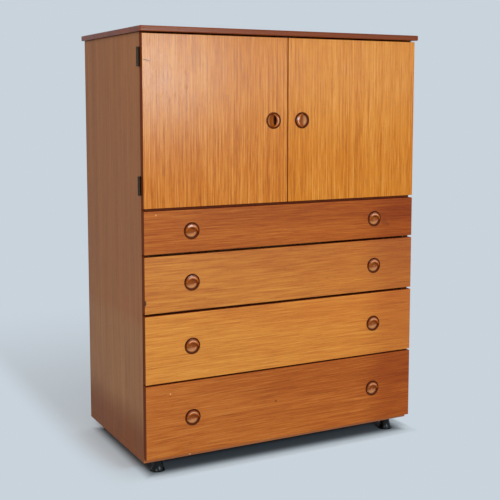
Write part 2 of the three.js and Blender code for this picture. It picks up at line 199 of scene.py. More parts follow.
class Term:
    """A value or vector socket that takes part in Python arithmetic."""

    def __init__(self, graph: "Graph", socket: bpy.types.NodeSocket) -> None:
        """Keeps the graph that the socket belongs to."""
        self.graph = graph
        self.socket = socket

    def _maths(self, operation: str, *values: object, clamp: bool = False) -> "Term":
        """Adds a Math node over the values."""
        settings = {"operation": operation, "use_clamp": clamp}
        return self.graph.node("ShaderNodeMath", settings, dict(enumerate(values)))

    def __add__(self, other: object) -> "Term":
        """Sum."""
        return self._maths("ADD", self, other)

    __radd__ = __add__

    def __sub__(self, other: object) -> "Term":
        """Difference."""
        return self._maths("SUBTRACT", self, other)

    def __rsub__(self, other: object) -> "Term":
        """Difference from a number."""
        return self._maths("SUBTRACT", other, self)

    def __mul__(self, other: object) -> "Term":
        """Product."""
        return self._maths("MULTIPLY", self, other)

    __rmul__ = __mul__

    def __truediv__(self, other: object) -> "Term":
        """Quotient."""
        return self._maths("DIVIDE", self, other)

    def __abs__(self) -> "Term":
        """Absolute value."""
        return self._maths("ABSOLUTE", self)

    def __pow__(self, other: object) -> "Term":
        """Power."""
        return self._maths("POWER", self, other)

    def clamped(self) -> "Term":
        """The value kept between 0 and 1."""
        return self._maths("ADD", self, 0.0, clamp=True)

    def lesser(self, other: object) -> "Term":
        """The smaller of two values."""
        return self._maths("MINIMUM", self, other)

    def greater(self, other: object) -> "Term":
        """The larger of two values."""
        return self._maths("MAXIMUM", self, other)

    def rise(self, low: float, high: float) -> "Term":
        """A smooth step from 0 at one value to 1 at another."""
        values = {"Value": self, "From Min": low, "From Max": high}
        return self.graph.node("ShaderNodeMapRange", {"interpolation_type": "SMOOTHSTEP"}, values, "Result")


class Graph:
    """The node tree of one material or world."""

    def __init__(self, tree: bpy.types.NodeTree) -> None:
        """Starts from an empty tree."""
        self.tree = tree
        tree.nodes.clear()

    def add(
        self,
        kind: str,
        settings: dict[str, object] | None = None,
        values: dict[object, object] | None = None,
    ) -> bpy.types.Node:
        """Adds a node, sets it up and feeds its sockets.

        Args:
            kind: Node type.
            settings: Properties, which are set first, and a ramp's stops as place and colour.
            values: Number, colour or Term for each input, by name, identifier or index.

        Returns:
            The node.
        """
        made = self.tree.nodes.new(kind)
        for name, value in (settings or {}).items():
            if name == "stops":
                self._set_stops(made.color_ramp.elements, value)
            else:
                setattr(made, name, value)
        for key, value in (values or {}).items():
            socket = self._find(made.inputs, key)
            if isinstance(value, Term):
                self.tree.links.new(value.socket, socket)
            elif isinstance(value, tuple) and socket.type == "RGBA":
                socket.default_value = (*value, 1.0)
            else:
                socket.default_value = value
        return made

    @staticmethod
    def _set_stops(elements: bpy.types.ColorRampElements, stops: Stops) -> None:
        """Sets the stops of a ramp.

        Args:
            elements: The ramp's own stops.
            stops: Place and colour of each stop, in rising order.
        """
        while len(elements) < len(stops):
            elements.new(1.0)
        for element, (place, tone) in zip(elements, stops):
            element.position = place
            element.color = (*tone, 1.0)

    @staticmethod
    def _find(sockets: Iterable[bpy.types.NodeSocket], key: str | int) -> bpy.types.NodeSocket:
        """Finds a socket.

        Args:
            sockets: The sockets of a node.
            key: Index, identifier or name.

        Returns:
            The socket.
        """
        if isinstance(key, int):
            return sockets[key]
        for socket in sockets:
            if socket.identifier == key:
                return socket
        return sockets[key]

    def node(
        self,
        kind: str,
        settings: dict[str, object] | None = None,
        values: dict[object, object] | None = None,
        out: str | int = 0,
    ) -> Term:
        """One output of an added node, by name, identifier or index."""
        return Term(self, self._find(self.add(kind, settings, values).outputs, out))

    def mix(self, share: object, first: object, second: object, way: str = "MIX") -> Term:
        """Mixes two colours.

        Args:
            share: Share of the second colour.
            first: First colour.
            second: Second colour.
            way: Blend type.

        Returns:
            The mixed colour.
        """
        settings = {"data_type": "RGBA", "blend_type": way}
        values = {"Factor_Float": share, "A_Color": first, "B_Color": second}
        return self.node("ShaderNodeMix", settings, values, "Result_Color")

    def ramp(self, value: Term, stops: Stops) -> Term:
        """Runs a value through a colour ramp."""
        return self.node("ShaderNodeValToRGB", {"stops": stops}, {"Fac": value}, "Color")

    def place(self) -> tuple[Term, Term, Term]:
        """The point on the piece, in metres, as its three coordinates."""
        point = self.node("ShaderNodeTexCoord", out="Object")
        return tuple(Term(self, part) for part in self.add("ShaderNodeSeparateXYZ", {}, {0: point}).outputs)

    def vector(self, x: object, y: object, z: object) -> Term:
        """Joins three values to a vector."""
        return self.node("ShaderNodeCombineXYZ", {}, {0: x, 1: y, 2: z})

    def noise(self, at: Term, scale: float, detail: float = 2.0, rough: float = 0.5) -> Term:
        """Cloudy noise about 0.5, with scale in cells per unit and the finer layers' count and share."""
        values = {"Vector": at, "Scale": scale, "Detail": detail, "Roughness": rough}
        return self.node("ShaderNodeTexNoise", {}, values)

    def bump(self, height: Term, depth: float) -> Term:
        """Turns a height into a normal."""
        return self.node("ShaderNodeBump", {}, {"Height": height, "Distance": depth, "Strength": 1.0})

    def shown(self) -> Term:
        """Tells what is seen from what only lights.

        Returns:
            1 for what the camera, a glossy face or a clear one sees, and 0 for soft light.
        """
        outputs = self.add("ShaderNodeLightPath").outputs
        seen, glossy, clear = (
            Term(self, outputs[name])
            for name in ("Is Camera Ray", "Is Glossy Ray", "Is Transmission Ray")
        )
        return (seen + glossy + clear).clamped()

    def finish(self, shader: Term, kind: str = "ShaderNodeOutputMaterial") -> None:
        """Ends the tree in an output node."""
        self.add(kind, {}, {"Surface": shader})


def new_material(name: str) -> tuple[bpy.types.Material, Graph]:
    """Makes an empty material.

    Args:
        name: Its name.

    Returns:
        The material and its graph.
    """
    made = bpy.data.materials.new(name)
    made.use_nodes = True
    return made, Graph(made.node_tree)


# Finishes


@dataclass(frozen=True)
class Finish:
    """A procedural surface, and the record's slot of the pieces that it is the main finish of."""

    name: str
    slot: Slot

    def paint(self, graph: Graph) -> dict[str, object]:
        """The value for each socket of the surface shader that is set."""
        raise NotImplementedError

    def material(self) -> bpy.types.Material:
        """Builds the finish's material.

        Returns:
            The material.
        """
        made, graph = new_material(self.name)
        graph.finish(graph.node("ShaderNodeBsdfPrincipled", {}, self.paint(graph)))
        return made


@dataclass(frozen=True)
class Mark:
    """A scratch, dent, chip, tinted area, painted shade or painted reflection on a finish."""

    centre: Point
    reach: Point
    tone: Colour
    strength: float = 1.0
    core: float = 0.4

    def mask(self, at: Sequence[Term]) -> Term:
        """The share of the mark's tone at a point."""
        x, y, z = (
            ((value - middle) / size) ** 2.0
            for value, middle, size in zip(at, self.centre, self.reach)
        )
        return (1.0 - (x + y + z).rise(self.core, 1.0)) * self.strength


@dataclass(frozen=True)
class Layer:
    """Noise drawn out along the grain, with its cells per metre across the grain and along it."""

    across: float
    along: float
    seed: float
    detail: float = 2.0
    rough: float = 0.5


DRIFT = Layer(across=5.0, along=1.6, seed=3.1, detail=1.0)
FIBRE = Layer(across=460.0, along=15.0, seed=37.0, rough=0.6)
PORES = Layer(across=1500.0, along=75.0, seed=51.0, detail=1.0)
CLOUD = Layer(across=4.5, along=1.7, seed=71.0)

# How far noise of full share moves a veneer's tone
BAND_GAIN, FIBRE_GAIN, CLOUD_GAIN = 2.4, 1.6, 0.36


@dataclass(frozen=True)
class Veneer(Finish):
    """A sliced wood surface whose grain follows one axis."""

    dark: Colour
    middle: Colour
    light: Colour
    grain: Axis
    ribbon: float = 0.5
    stripe: float = 0.5
    fibre: float = 0.3
    pore: float = 0.35
    ribbon_width: float = 34.0 * MM
    ribbon_cells: float = 0.9
    stripe_width: float = 8.5 * MM
    stripe_length: float = 400.0 * MM
    sway: float = 6.0 * MM
    roughness: float = 0.42
    gloss: float = 0.5
    tone_ends: Span = (0.08, 0.92)
    pore_step: Span = (0.6, 0.74)
    pore_stripe: Span = (0.62, 0.38)
    pore_least: float = 0.4
    pore_shade: float = 0.42
    fibre_rough: float = 0.16
    pore_rough: float = 0.2
    cloud_rough: float = 0.12
    fibre_relief: float = 0.5
    bump: float = 0.06 * MM
    shift: float = 0.0
    tints_and_painted_light: tuple[Mark, ...] = ()
    marks: tuple[Mark, ...] = ()

    def _noise(self, graph: Graph, at: Sequence[Term], layer: Layer) -> Term:
        """One layer of noise about 0.5."""
        squeezed = [
            value * (layer.along if axis is self.grain else layer.across) + layer.seed + self.shift
            for axis, value in zip(Axis, at)
        ]
        return graph.noise(graph.vector(*squeezed), 1.0, layer.detail, layer.rough)

    def paint(self, graph: Graph) -> dict[str, object]:
        """Works out the surface.

        Args:
            graph: Node tree.

        Returns:
            Value for each socket that is set.
        """
        at = graph.place()
        drift = self._noise(graph, at, DRIFT) - 0.5
        swayed = [
            value if axis is self.grain else value + drift * self.sway * 2.0
            for axis, value in zip(Axis, at)
        ]
        ribbons = Layer(1 / self.ribbon_width, self.ribbon_cells, seed=11.0)
        stripes = Layer(1 / self.stripe_width, 1 / self.stripe_length, seed=23.0, detail=3.0, rough=0.6)
        ribbon, stripe, fibre, pores = (
            self._noise(graph, swayed, layer) for layer in (ribbons, stripes, FIBRE, PORES)
        )
        cloud = self._noise(graph, at, CLOUD)
        tone = (
            0.5
            + (ribbon - 0.5) * (BAND_GAIN * self.ribbon)
            + (stripe - 0.5) * (BAND_GAIN * self.stripe)
            + (fibre - 0.5) * (FIBRE_GAIN * self.fibre)
            + (cloud - 0.5) * CLOUD_GAIN
        ).clamped()
        first, last = self.tone_ends
        colour = graph.ramp(tone, ((first, self.dark), (0.5, self.middle), (last, self.light)))
        in_dark = self.pore_least + stripe.rise(*self.pore_stripe) * (1 - self.pore_least)
        open_pore = pores.rise(*self.pore_step) * in_dark
        shadow = tuple(channel * self.pore_shade for channel in self.dark)
        colour = graph.mix(open_pore * self.pore, colour, shadow)
        # Multiplied tints: painted shade, painted reflection, and the darker right ends of the drawer
        # fronts
        for area in self.tints_and_painted_light:
            colour = graph.mix(area.mask(at), colour, area.tone, "MULTIPLY")
        for mark in self.marks:
            colour = graph.mix(mark.mask(at), colour, mark.tone)
        rough = (
            self.roughness
            + (fibre - 0.5) * self.fibre_rough
            + open_pore * self.pore_rough
            + (cloud - 0.5) * self.cloud_rough
        )
        return {
            "Base Color": colour,
            "Roughness": rough,
            "Specular IOR Level": self.gloss,
            "Normal": graph.bump(fibre * self.fibre_relief - open_pore, self.bump),
        }


@dataclass(frozen=True)
class Polish(Finish):
    """Turned hardwood under a polish: a dark bare rim that is thicker on the entry side as painted shade,
    painted shade under the lip, a worn entry with a painted reflection on it, and a painted highlight arc
    on the lip.

    Lengths are from the pull's middle: outward, in from the front, and towards the lip.
    """

    dark: Colour
    light: Colour
    rim: Colour
    # Painted shade under the lip
    hollow: Colour
    # Worn entry, paled as a painted reflection
    worn: Colour
    # Painted highlight: a pale arc on the lip's shoulder
    painted_glint: Colour
    glint_arc: float = 13.2 * MM
    glint_half: float = 2.3 * MM
    glint_up: Span = (6.0 * MM, 12.5 * MM)
    glint_out: Span = (-0.8 * MM, -2.0 * MM)
    rim_from: Span = (15.4 * MM, 18.0 * MM)
    # Shifts the dark rim towards the lip, thickening it on the entry side as painted shade
    rim_shade_shift: float = 1.3 * MM
    worn_reflection_down: Span = (-3.0 * MM, -13.0 * MM)
    wall_shade_up: Span = (3.0 * MM, 6.5 * MM)
    sunk: Span = (-3.4 * MM, -0.6 * MM)
    floor_within: Span = (9.5 * MM, 5.0 * MM)
    roughness: float = 0.5
    gloss: float = 0.04
    coat: float = 0.34
    coat_roughness: float = 0.15
    bare: float = 0.9
    rim_rough: float = 0.2
    streaks: Point = (60.0, 420.0, 420.0)
    figures: Point = (14.0, 90.0, 90.0)
    streak_gain: float = 1.3
    figure_gain: float = 1.4
    tone_ends: Span = (0.15, 0.85)
    glint_share: float = 0.7
    worn_reflection_share: float = 0.7
    rim_share: float = 0.94
    wall_shade_share: float = 0.95
    bump: float = 0.03 * MM

    def paint(self, graph: Graph) -> dict[str, object]:
        """Works out the surface.

        Args:
            graph: Node tree.

        Returns:
            Value for each socket that is set.
        """
        at = graph.place()
        x, y, z = at
        long, wide = (
            graph.vector(*(value * cells for value, cells in zip(at, scale)))
            for scale in (self.streaks, self.figures)
        )
        streak = graph.noise(long, 1.0, detail=3.0, rough=0.6)
        figure = graph.noise(wide, 1.0)
        tone = 0.5 + (streak - 0.5) * self.streak_gain + (figure - 0.5) * self.figure_gain
        first, last = self.tone_ends
        colour = graph.ramp(tone.clamped(), ((first, self.dark), (last, self.light)))
        # Dark bare rim, shifted towards the lip so that it is thicker on the entry side as painted shade
        lifted = z - self.rim_shade_shift
        rim = ((x * x + lifted * lifted) ** 0.5).rise(*self.rim_from)
        deep = y.rise(*self.sunk)
        # Worn entry with a painted reflection, and painted shade under the lip
        worn = z.rise(*self.worn_reflection_down) * deep
        wall_shade = z.rise(*self.wall_shade_up) * deep
        middle = (x * x + z * z) ** 0.5
        floor = middle.rise(*self.floor_within) * y.rise(self.sunk[0], 0.0)
        # Painted highlight: a pale arc on the lip's shoulder
        glint_arc = 1.0 - (abs(middle - self.glint_arc) / self.glint_half).rise(0.0, 1.0)
        glint_arc = glint_arc * z.rise(*self.glint_up) * y.rise(*self.glint_out)
        for share, mask, layer in (
            (self.glint_share, glint_arc, self.painted_glint), (self.worn_reflection_share, worn, self.worn),
            (self.rim_share, rim, self.rim), (self.wall_shade_share, wall_shade, self.hollow),
        ):
            colour = graph.mix(mask * share, colour, layer)
        return {
            "Base Color": colour,
            "Roughness": self.roughness + rim * self.rim_rough,
            "Specular IOR Level": self.gloss,
            "Coat Weight": (1.0 - rim.greater(wall_shade).greater(floor) * self.bare) * self.coat,
            "Coat Roughness": self.coat_roughness,
            "Normal": graph.bump(streak, self.bump),
        }


@dataclass(frozen=True)
class Hardboard(Finish):
    """Pressed board or thin plywood with a faint mottle."""

    dark: Colour
    light: Colour
    mottle: float = 260.0
    stretch: float = 1.0
    roughness: float = 0.75
    gloss: float = 0.3
    clouds: float = 7.0
    fleck_gain: float = 1.2
    cloud_gain: float = 0.8
    tone_ends: Span = (0.1, 0.9)
    fleck_rough: float = 0.15
    bump: float = 0.05 * MM

    def paint(self, graph: Graph) -> dict[str, object]:
        """Works out the surface.

        Args:
            graph: Node tree.

        Returns:
            Value for each socket that is set.
        """
        x, y, z = graph.place()
        at = graph.vector(x, y / self.stretch, z / self.stretch)
        fleck = graph.noise(at, self.mottle, detail=4.0, rough=0.65)
        cloud = graph.noise(at, self.clouds)
        tone = 0.5 + (fleck - 0.5) * self.fleck_gain + (cloud - 0.5) * self.cloud_gain
        first, last = self.tone_ends
        return {
            "Base Color": graph.ramp(tone.clamped(), ((first, self.dark), (last, self.light))),
            "Roughness": self.roughness + (fleck - 0.5) * self.fleck_rough,
            "Specular IOR Level": self.gloss,
            "Normal": graph.bump(fleck, self.bump),
        }


@dataclass(frozen=True)
class Metal(Finish):
    """Metal with faint brushing and worn patches."""

    base: Colour
    worn: Colour
    wear: float
    roughness: float
    metallic: float = 1.0
    patches: float = 240.0
    brushing: Span = (2600.0, 90.0)
    worn_step: Span = (0.52, 0.72)
    patch_rough: float = 0.3
    brush_rough: float = 0.1
    bump: float = 0.01 * MM

    def paint(self, graph: Graph) -> dict[str, object]:
        """Works out the surface.

        Args:
            graph: Node tree.

        Returns:
            Value for each socket that is set.
        """
        x, y, z = graph.place()
        across, along = self.brushing
        patch = graph.noise(graph.vector(x, y, z), self.patches, detail=4.0, rough=0.6)
        brush = graph.noise(graph.vector(x * across, y * across, z * along), 1.0)
        dull = (patch - 0.5) * self.patch_rough
        return {
            "Base Color": graph.mix(patch.rise(*self.worn_step) * self.wear, self.base, self.worn),
            "Metallic": self.metallic,
            "Roughness": self.roughness + dull + (brush - 0.5) * self.brush_rough,
            "Normal": graph.bump(brush, self.bump),
        }


@dataclass(frozen=True)
class Plastic(Finish):
    """Moulded plastic with handling haze and fine dust."""

    base: Colour
    haze: Colour
    roughness: float = 0.27
    gloss: float = 0.22
    scuffs: float = 90.0
    scuff_step: Span = (0.5, 0.75)
    scuff_share: float = 0.5
    scuff_rough: float = 0.12
    dust: float = 1400.0
    bump: float = 0.01 * MM

    def paint(self, graph: Graph) -> dict[str, object]:
        """Works out the surface.

        Args:
            graph: Node tree.

        Returns:
            Value for each socket that is set.
        """
        at = graph.vector(*graph.place())
        scuffed = graph.noise(at, self.scuffs, detail=3.0, rough=0.6).rise(*self.scuff_step)
        return {
            "Base Color": graph.mix(scuffed * self.scuff_share, self.base, self.haze),
            "Roughness": self.roughness + scuffed * self.scuff_rough,
            "Specular IOR Level": self.gloss,
            "Normal": graph.bump(graph.noise(at, self.dust), self.bump),
        }


def rgb(red: int, green: int, blue: int) -> Colour:
    """Turns a display colour, 0 to 255, into the linear one that shaders use."""
    shares = (red / 255, green / 255, blue / 255)
    return tuple(c / 12.92 if c <= 0.04045 else ((c + 0.055) / 1.055) ** 2.4 for c in shares)


FRONT_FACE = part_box("door_left")[0][1]
BASE_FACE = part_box("cabinet_base")[0][1]
SIDE_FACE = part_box("cabinet_side_left")[0][0]
SKIN = 20.0 * MM
WHOLE = 5.0


def flaw(x: float, z: float, half: Span, tone: Colour, strength: float, face: float = FRONT_FACE) -> Mark:
    """A small mark in a front, with its half width and half height."""
    return Mark((x, face, z), (half[0], SKIN, half[1]), tone, strength)


def darker_end(tone: Colour, strength: float) -> Mark:
    """The darker right end of a drawer front."""
    return Mark((0.580, FRONT_FACE, 0.4), (0.355, WHOLE, WHOLE), tone, strength)


def upper_shade(top: float, depth: float, tone: Colour) -> Mark:
    """Painted shade along a drawer front's upper part, deepest towards the right."""
    return Mark((0.35, FRONT_FACE, top), (0.75, WHOLE, depth), tone)


SCRATCH = rgb(96, 36, 10)
KNOT = rgb(112, 44, 8)
RED_END = darker_end(rgb(228, 206, 172), 0.95)
GOLD_END = darker_end(rgb(228, 204, 160), 0.75)
# Painted shade: drawer fronts darker and less blue towards the right, where they catch less sheen
RIGHTWARD_SHADE = Mark((1.2, FRONT_FACE, 0.4), (1.45, WHOLE, WHOLE), (0.99, 0.91, 0.76))

SIDE_VENEER = Veneer(
    "side_veneer", Slot.SIDE, rgb(130, 77, 41), rgb(151, 94, 51), rgb(166, 108, 62), Axis.Z,
    ribbon=0.25, stripe=0.35, fibre=0.7, pore=0.4, roughness=0.5, gloss=0.14,
    tints_and_painted_light=(
        # Painted reflection: a paler, bluer band above the bottom; painted shade: darker and browner
        # towards the bottom
        Mark((SIDE_FACE, 0.0, 0.25), (1.0, WHOLE, 0.17), (1.03, 1.19, 1.42), 0.9),
        Mark((SIDE_FACE, 0.0, -0.08), (1.0, WHOLE, 0.27), (0.70, 0.52, 0.28)),
    ),
)
TOP_VENEER = Veneer(
    "top_veneer", Slot.TOP, rgb(94, 34, 9), rgb(118, 49, 14), rgb(138, 65, 24), Axis.X,
    ribbon=0.3, stripe=0.4, pore=0.4, roughness=0.25, gloss=0.13,
)
BASE_VENEER = Veneer(
    "base_veneer", Slot.SIDE, rgb(150, 72, 24), rgb(174, 92, 36), rgb(194, 112, 50), Axis.X,
    ribbon=0.4, stripe=0.4,
    marks=(flaw(-0.2822, 0.0391, (0.0034, 0.0024), rgb(236, 186, 140), 0.85, BASE_FACE),),
)
DOOR_VENEER = Veneer(
    "door_veneer", Slot.DOOR, rgb(164, 81, 2), rgb(195, 108, 15), rgb(210, 132, 50), Axis.Z,
    ribbon=0.62, stripe=0.52, fibre=0.7, pore=0.8, ribbon_width=4.0 * MM, stripe_width=2.6 * MM,
    stripe_length=70.0 * MM, roughness=0.25, gloss=0.26,
    # Painted shade: the lower part of each door a little darker
    tints_and_painted_light=(Mark((0.0, FRONT_FACE, 0.62), (WHOLE, WHOLE, 0.30), (0.97, 0.93, 0.92)),),
    marks=(
        flaw(-0.4030, 1.0622, (0.0075, 0.0018), SCRATCH, 0.75),
        flaw(-0.3945, 1.0594, (0.0070, 0.0018), SCRATCH, 0.75),
    ),
)
# Painted light: a lighter copy of the door veneer that brightens the right door, with its own figure and no
# scratches
RIGHT_DOOR_LIGHTENED_VENEER = replace(
    DOOR_VENEER, name="right_door_veneer_painted_light", dark=rgb(171, 87, 2), middle=rgb(202, 116, 17),
    light=rgb(216, 139, 53), ribbon=0.52, stripe=0.46, shift=4.7, marks=(),
)
RED_VENEER = Veneer(
    "red_veneer", Slot.RED, rgb(144, 63, 14), rgb(167, 83, 23), rgb(185, 103, 36), Axis.X,
    ribbon=0.16, stripe=0.68, fibre=0.55, pore=0.6, stripe_width=3.2 * MM,
    stripe_length=120.0 * MM, roughness=0.46, gloss=0.15,
    tints_and_painted_light=(RED_END, RIGHTWARD_SHADE, upper_shade(0.700, 0.090, (0.86, 0.78, 0.66))),
    marks=(
        flaw(-0.3784, 0.6776, (0.0030, 0.0030), rgb(226, 148, 96), 0.6),
        flaw(0.3150, 0.6235, (0.0120, 0.0110), KNOT, 0.45),
        flaw(0.3270, 0.6150, (0.0080, 0.0060), KNOT, 0.45),
    ),
)
LOW_RED_VENEER = replace(
    RED_VENEER, name="low_red_veneer", dark=rgb(156, 76, 23), middle=rgb(180, 95, 33),
    light=rgb(197, 117, 49), shift=2.3,
    tints_and_painted_light=(RED_END, RIGHTWARD_SHADE, upper_shade(0.250, 0.120, (0.87, 0.79, 0.68))),
    marks=(
        flaw(-0.3432, 0.2136, (0.0026, 0.0030), rgb(228, 158, 106), 0.65),
        flaw(-0.0345, 0.1512, (0.0040, 0.0036), rgb(96, 40, 12), 0.7),
    ),
)
GOLD_VENEER = Veneer(
    "gold_veneer", Slot.GOLD, rgb(168, 86, 20), rgb(190, 109, 31), rgb(206, 131, 48), Axis.X,
    ribbon=0.14, stripe=0.64, fibre=0.55, pore=0.55, stripe_width=3.2 * MM,
    stripe_length=120.0 * MM, roughness=0.46, gloss=0.3,
    tints_and_painted_light=(GOLD_END, RIGHTWARD_SHADE, upper_shade(0.590, 0.130, (0.90, 0.82, 0.66))),
    marks=(flaw(-0.4105, 0.4557, (0.0050, 0.0085), rgb(70, 26, 8), 0.95),),
)
LOW_GOLD_VENEER = replace(
    GOLD_VENEER, name="low_gold_veneer", dark=rgb(184, 101, 27), middle=rgb(204, 123, 38),
    light=rgb(218, 144, 58), shift=7.9, marks=(),
    tints_and_painted_light=(GOLD_END, RIGHTWARD_SHADE, upper_shade(0.435, 0.120, (0.95, 0.87, 0.76))),
)
LIPPING = Veneer(
    "edge_lipping", Slot.SIDE, rgb(80, 32, 8), rgb(101, 43, 12), rgb(120, 58, 20), Axis.Z,
    ribbon=0.3, stripe=0.4, roughness=0.6, gloss=0.05,
)
MEETING_EDGE = replace(
    LIPPING, name="meeting_edge_lipping", slot=Slot.DOOR, dark=rgb(150, 78, 26),
    middle=rgb(178, 98, 36), light=rgb(196, 118, 50), gloss=0.2,
)
# Painted bounce light: a lighter, redder copy of the lipping, with its grain along X, for the level edges
# in the gaps
LEVEL_LIPPING_PAINTED_BOUNCE = replace(
    LIPPING, name="level_edge_lipping_painted_bounce", slot=Slot.DOOR, dark=rgb(106, 36, 10),
    middle=rgb(124, 46, 15), light=rgb(140, 58, 22), grain=Axis.X, gloss=0.12,
)
INNER_VENEER = Veneer(
    "inner_veneer", Slot.INNER, rgb(176, 130, 84), rgb(196, 150, 102), rgb(212, 170, 120), Axis.Z,
    ribbon=0.3, stripe=0.35, fibre=0.4, pore=0.25, roughness=0.6,
)
INNER_LEVEL = replace(INNER_VENEER, name="inner_level_veneer", grain=Axis.X)
INNER_DEEP = Veneer(
    "inner_solid_wood", Slot.INNER, rgb(184, 142, 96), rgb(202, 162, 114), rgb(216, 180, 134),
    Axis.Y, ribbon=0.35, stripe=0.4, fibre=0.4, pore=0.2, roughness=0.62,
)
PLY = Hardboard(
    "drawer_bottom_ply", Slot.PLY, rgb(170, 128, 84), rgb(200, 160, 112),
    mottle=120.0, stretch=6.0, roughness=0.65,
)
BACK_BOARD = Hardboard("back_board", Slot.BACK, rgb(112, 78, 50), rgb(142, 104, 70))
# The near-black tone is painted shade under the lip, the pale worn tone a painted reflection on the worn
# entry, and the palest tone a painted highlight
PULL_WOOD = Polish(
    "pull_wood", Slot.PULL, dark=rgb(140, 58, 10), light=rgb(188, 97, 24), rim=rgb(78, 27, 6),
    hollow=rgb(30, 8, 1), worn=rgb(206, 144, 98), painted_glint=rgb(240, 176, 136),
)
BRONZE = Metal(
    "hinge_metal", Slot.HINGE, rgb(58, 48, 40), rgb(112, 92, 70),
    wear=0.35, roughness=0.42, metallic=0.85,
)
STEEL = Metal(
    "strike_steel", Slot.STEEL, rgb(168, 168, 166), rgb(200, 199, 196), wear=0.4, roughness=0.32,
)
BLACK = Plastic("black_plastic", Slot.PLASTIC, rgb(8, 8, 9), rgb(20, 20, 21))

DOOR_FINISHES = {Hand.LEFT: DOOR_VENEER, Hand.RIGHT: RIGHT_DOOR_LIGHTENED_VENEER}
DRAWER_FINISHES = (RED_VENEER, GOLD_VENEER, LOW_GOLD_VENEER, LOW_RED_VENEER)


# Mesh making

OVERRUN = 10.0 * MM

# Facets round a turned form, from the largest forms to the smallest
LARGE, MIDDLING, SMALL, TINY = 64, 40, 24, 12


def board_box(node: str, gap: float = 0.0) -> tuple[Vector, Vector]:
    """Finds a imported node's box.

    Args:
        node: The node.
        gap: How far every face is moved outward.

    Returns:
        The box's lowest and highest corners.
    """
    low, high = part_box(node)
    spread = Vector((gap,) * 3)
    return Vector(low) - spread, Vector(high) + spread


def centre_of(node: str) -> Point:
    """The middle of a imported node's box."""
    return tuple((low + high) / 2 for low, high in zip(*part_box(node)))


def box_mesh(low: Point, high: Point, ease: float = 0.0, steps: int = 3) -> Draft:
    """A box whose edges are rounded.

    Args:
        low: Lowest corner.
        high: Highest corner.
        ease: Radius of the edges.
        steps: Facets of each rounding.

    Returns:
        The box.
    """
    bm = bmesh.new()
    bmesh.ops.create_cube(bm, size=1.0)
    bmesh.ops.scale(bm, vec=Vector(high) - Vector(low), verts=bm.verts)
    bmesh.ops.translate(bm, vec=(Vector(high) + Vector(low)) / 2, verts=bm.verts)
    if ease:
        bmesh.ops.bevel(
            bm, geom=list(bm.edges), offset=ease, segments=steps, profile=0.5, affect="EDGES"
        )
    return bm


def skin(bm: Draft, rings: Sequence[Sequence[bmesh.types.BMVert]], segments: int) -> None:
    """Joins each ring of points to the next with faces.

    Args:
        bm: The draft that holds the points.
        rings: Rings of as many points as there are segments, or of one point.
        segments: Facets round each ring.
    """
    for lower, upper in zip(rings, rings[1:]):
        for i in range(segments):
            j = (i + 1) % segments
            corners = [lower[i % len(lower)], lower[j % len(lower)],
                       upper[j % len(upper)], upper[i % len(upper)]]
            bm.faces.new(list(dict.fromkeys(corners)))


def turned_mesh(profile: Profile, segments: int, hollow: bool = False) -> Draft:
    """A turned form round Z.

    Args:
        profile: Radius and height of each ring, from one end of the axis to the other.
        segments: Facets round the axis.
        hollow: Whether the last ring joins the first, which leaves a bore.

    Returns:
        The closed form.
    """
    bm = bmesh.new()
    rings = [
        [bm.verts.new((radius * math.cos(a), radius * math.sin(a), height))
         for a in (math.tau * i / segments for i in range(segments if radius else 1))]
        for radius, height in profile
    ]
    skin(bm, rings + rings[:1] if hollow else rings, segments)
    bmesh.ops.recalc_face_normals(bm, faces=bm.faces)
    return bm


def swung(bm: Draft, side: Side, at: Point) -> Draft:
    """Turns a form that stands on Z to face a side, and puts its origin in place.

    Args:
        bm: The form.
        side: The side that its upper end faces.
        at: The place of its origin.

    Returns:
        The same form.
    """
    turn = Side.ABOVE.outward.rotation_difference(side.outward).to_matrix().to_4x4()
    bm.transform(Matrix.Translation(at) @ turn)
    return bm


def plug(radius: float, low: float, high: float) -> Profile:
    """The profile of a plain cylinder."""
    return [(0, low), (radius, low), (radius, high), (0, high)]


def joined(parts: Iterable[Draft]) -> Draft:
    """Puts several forms into one draft.

    Args:
        parts: The forms, which are used up.

    Returns:
        The draft.
    """
    whole = bmesh.new()
    for part in parts:
        mesh = bpy.data.meshes.new("part")
        part.to_mesh(mesh)
        part.free()
        whole.from_mesh(mesh)
        bpy.data.meshes.remove(mesh)
    return whole


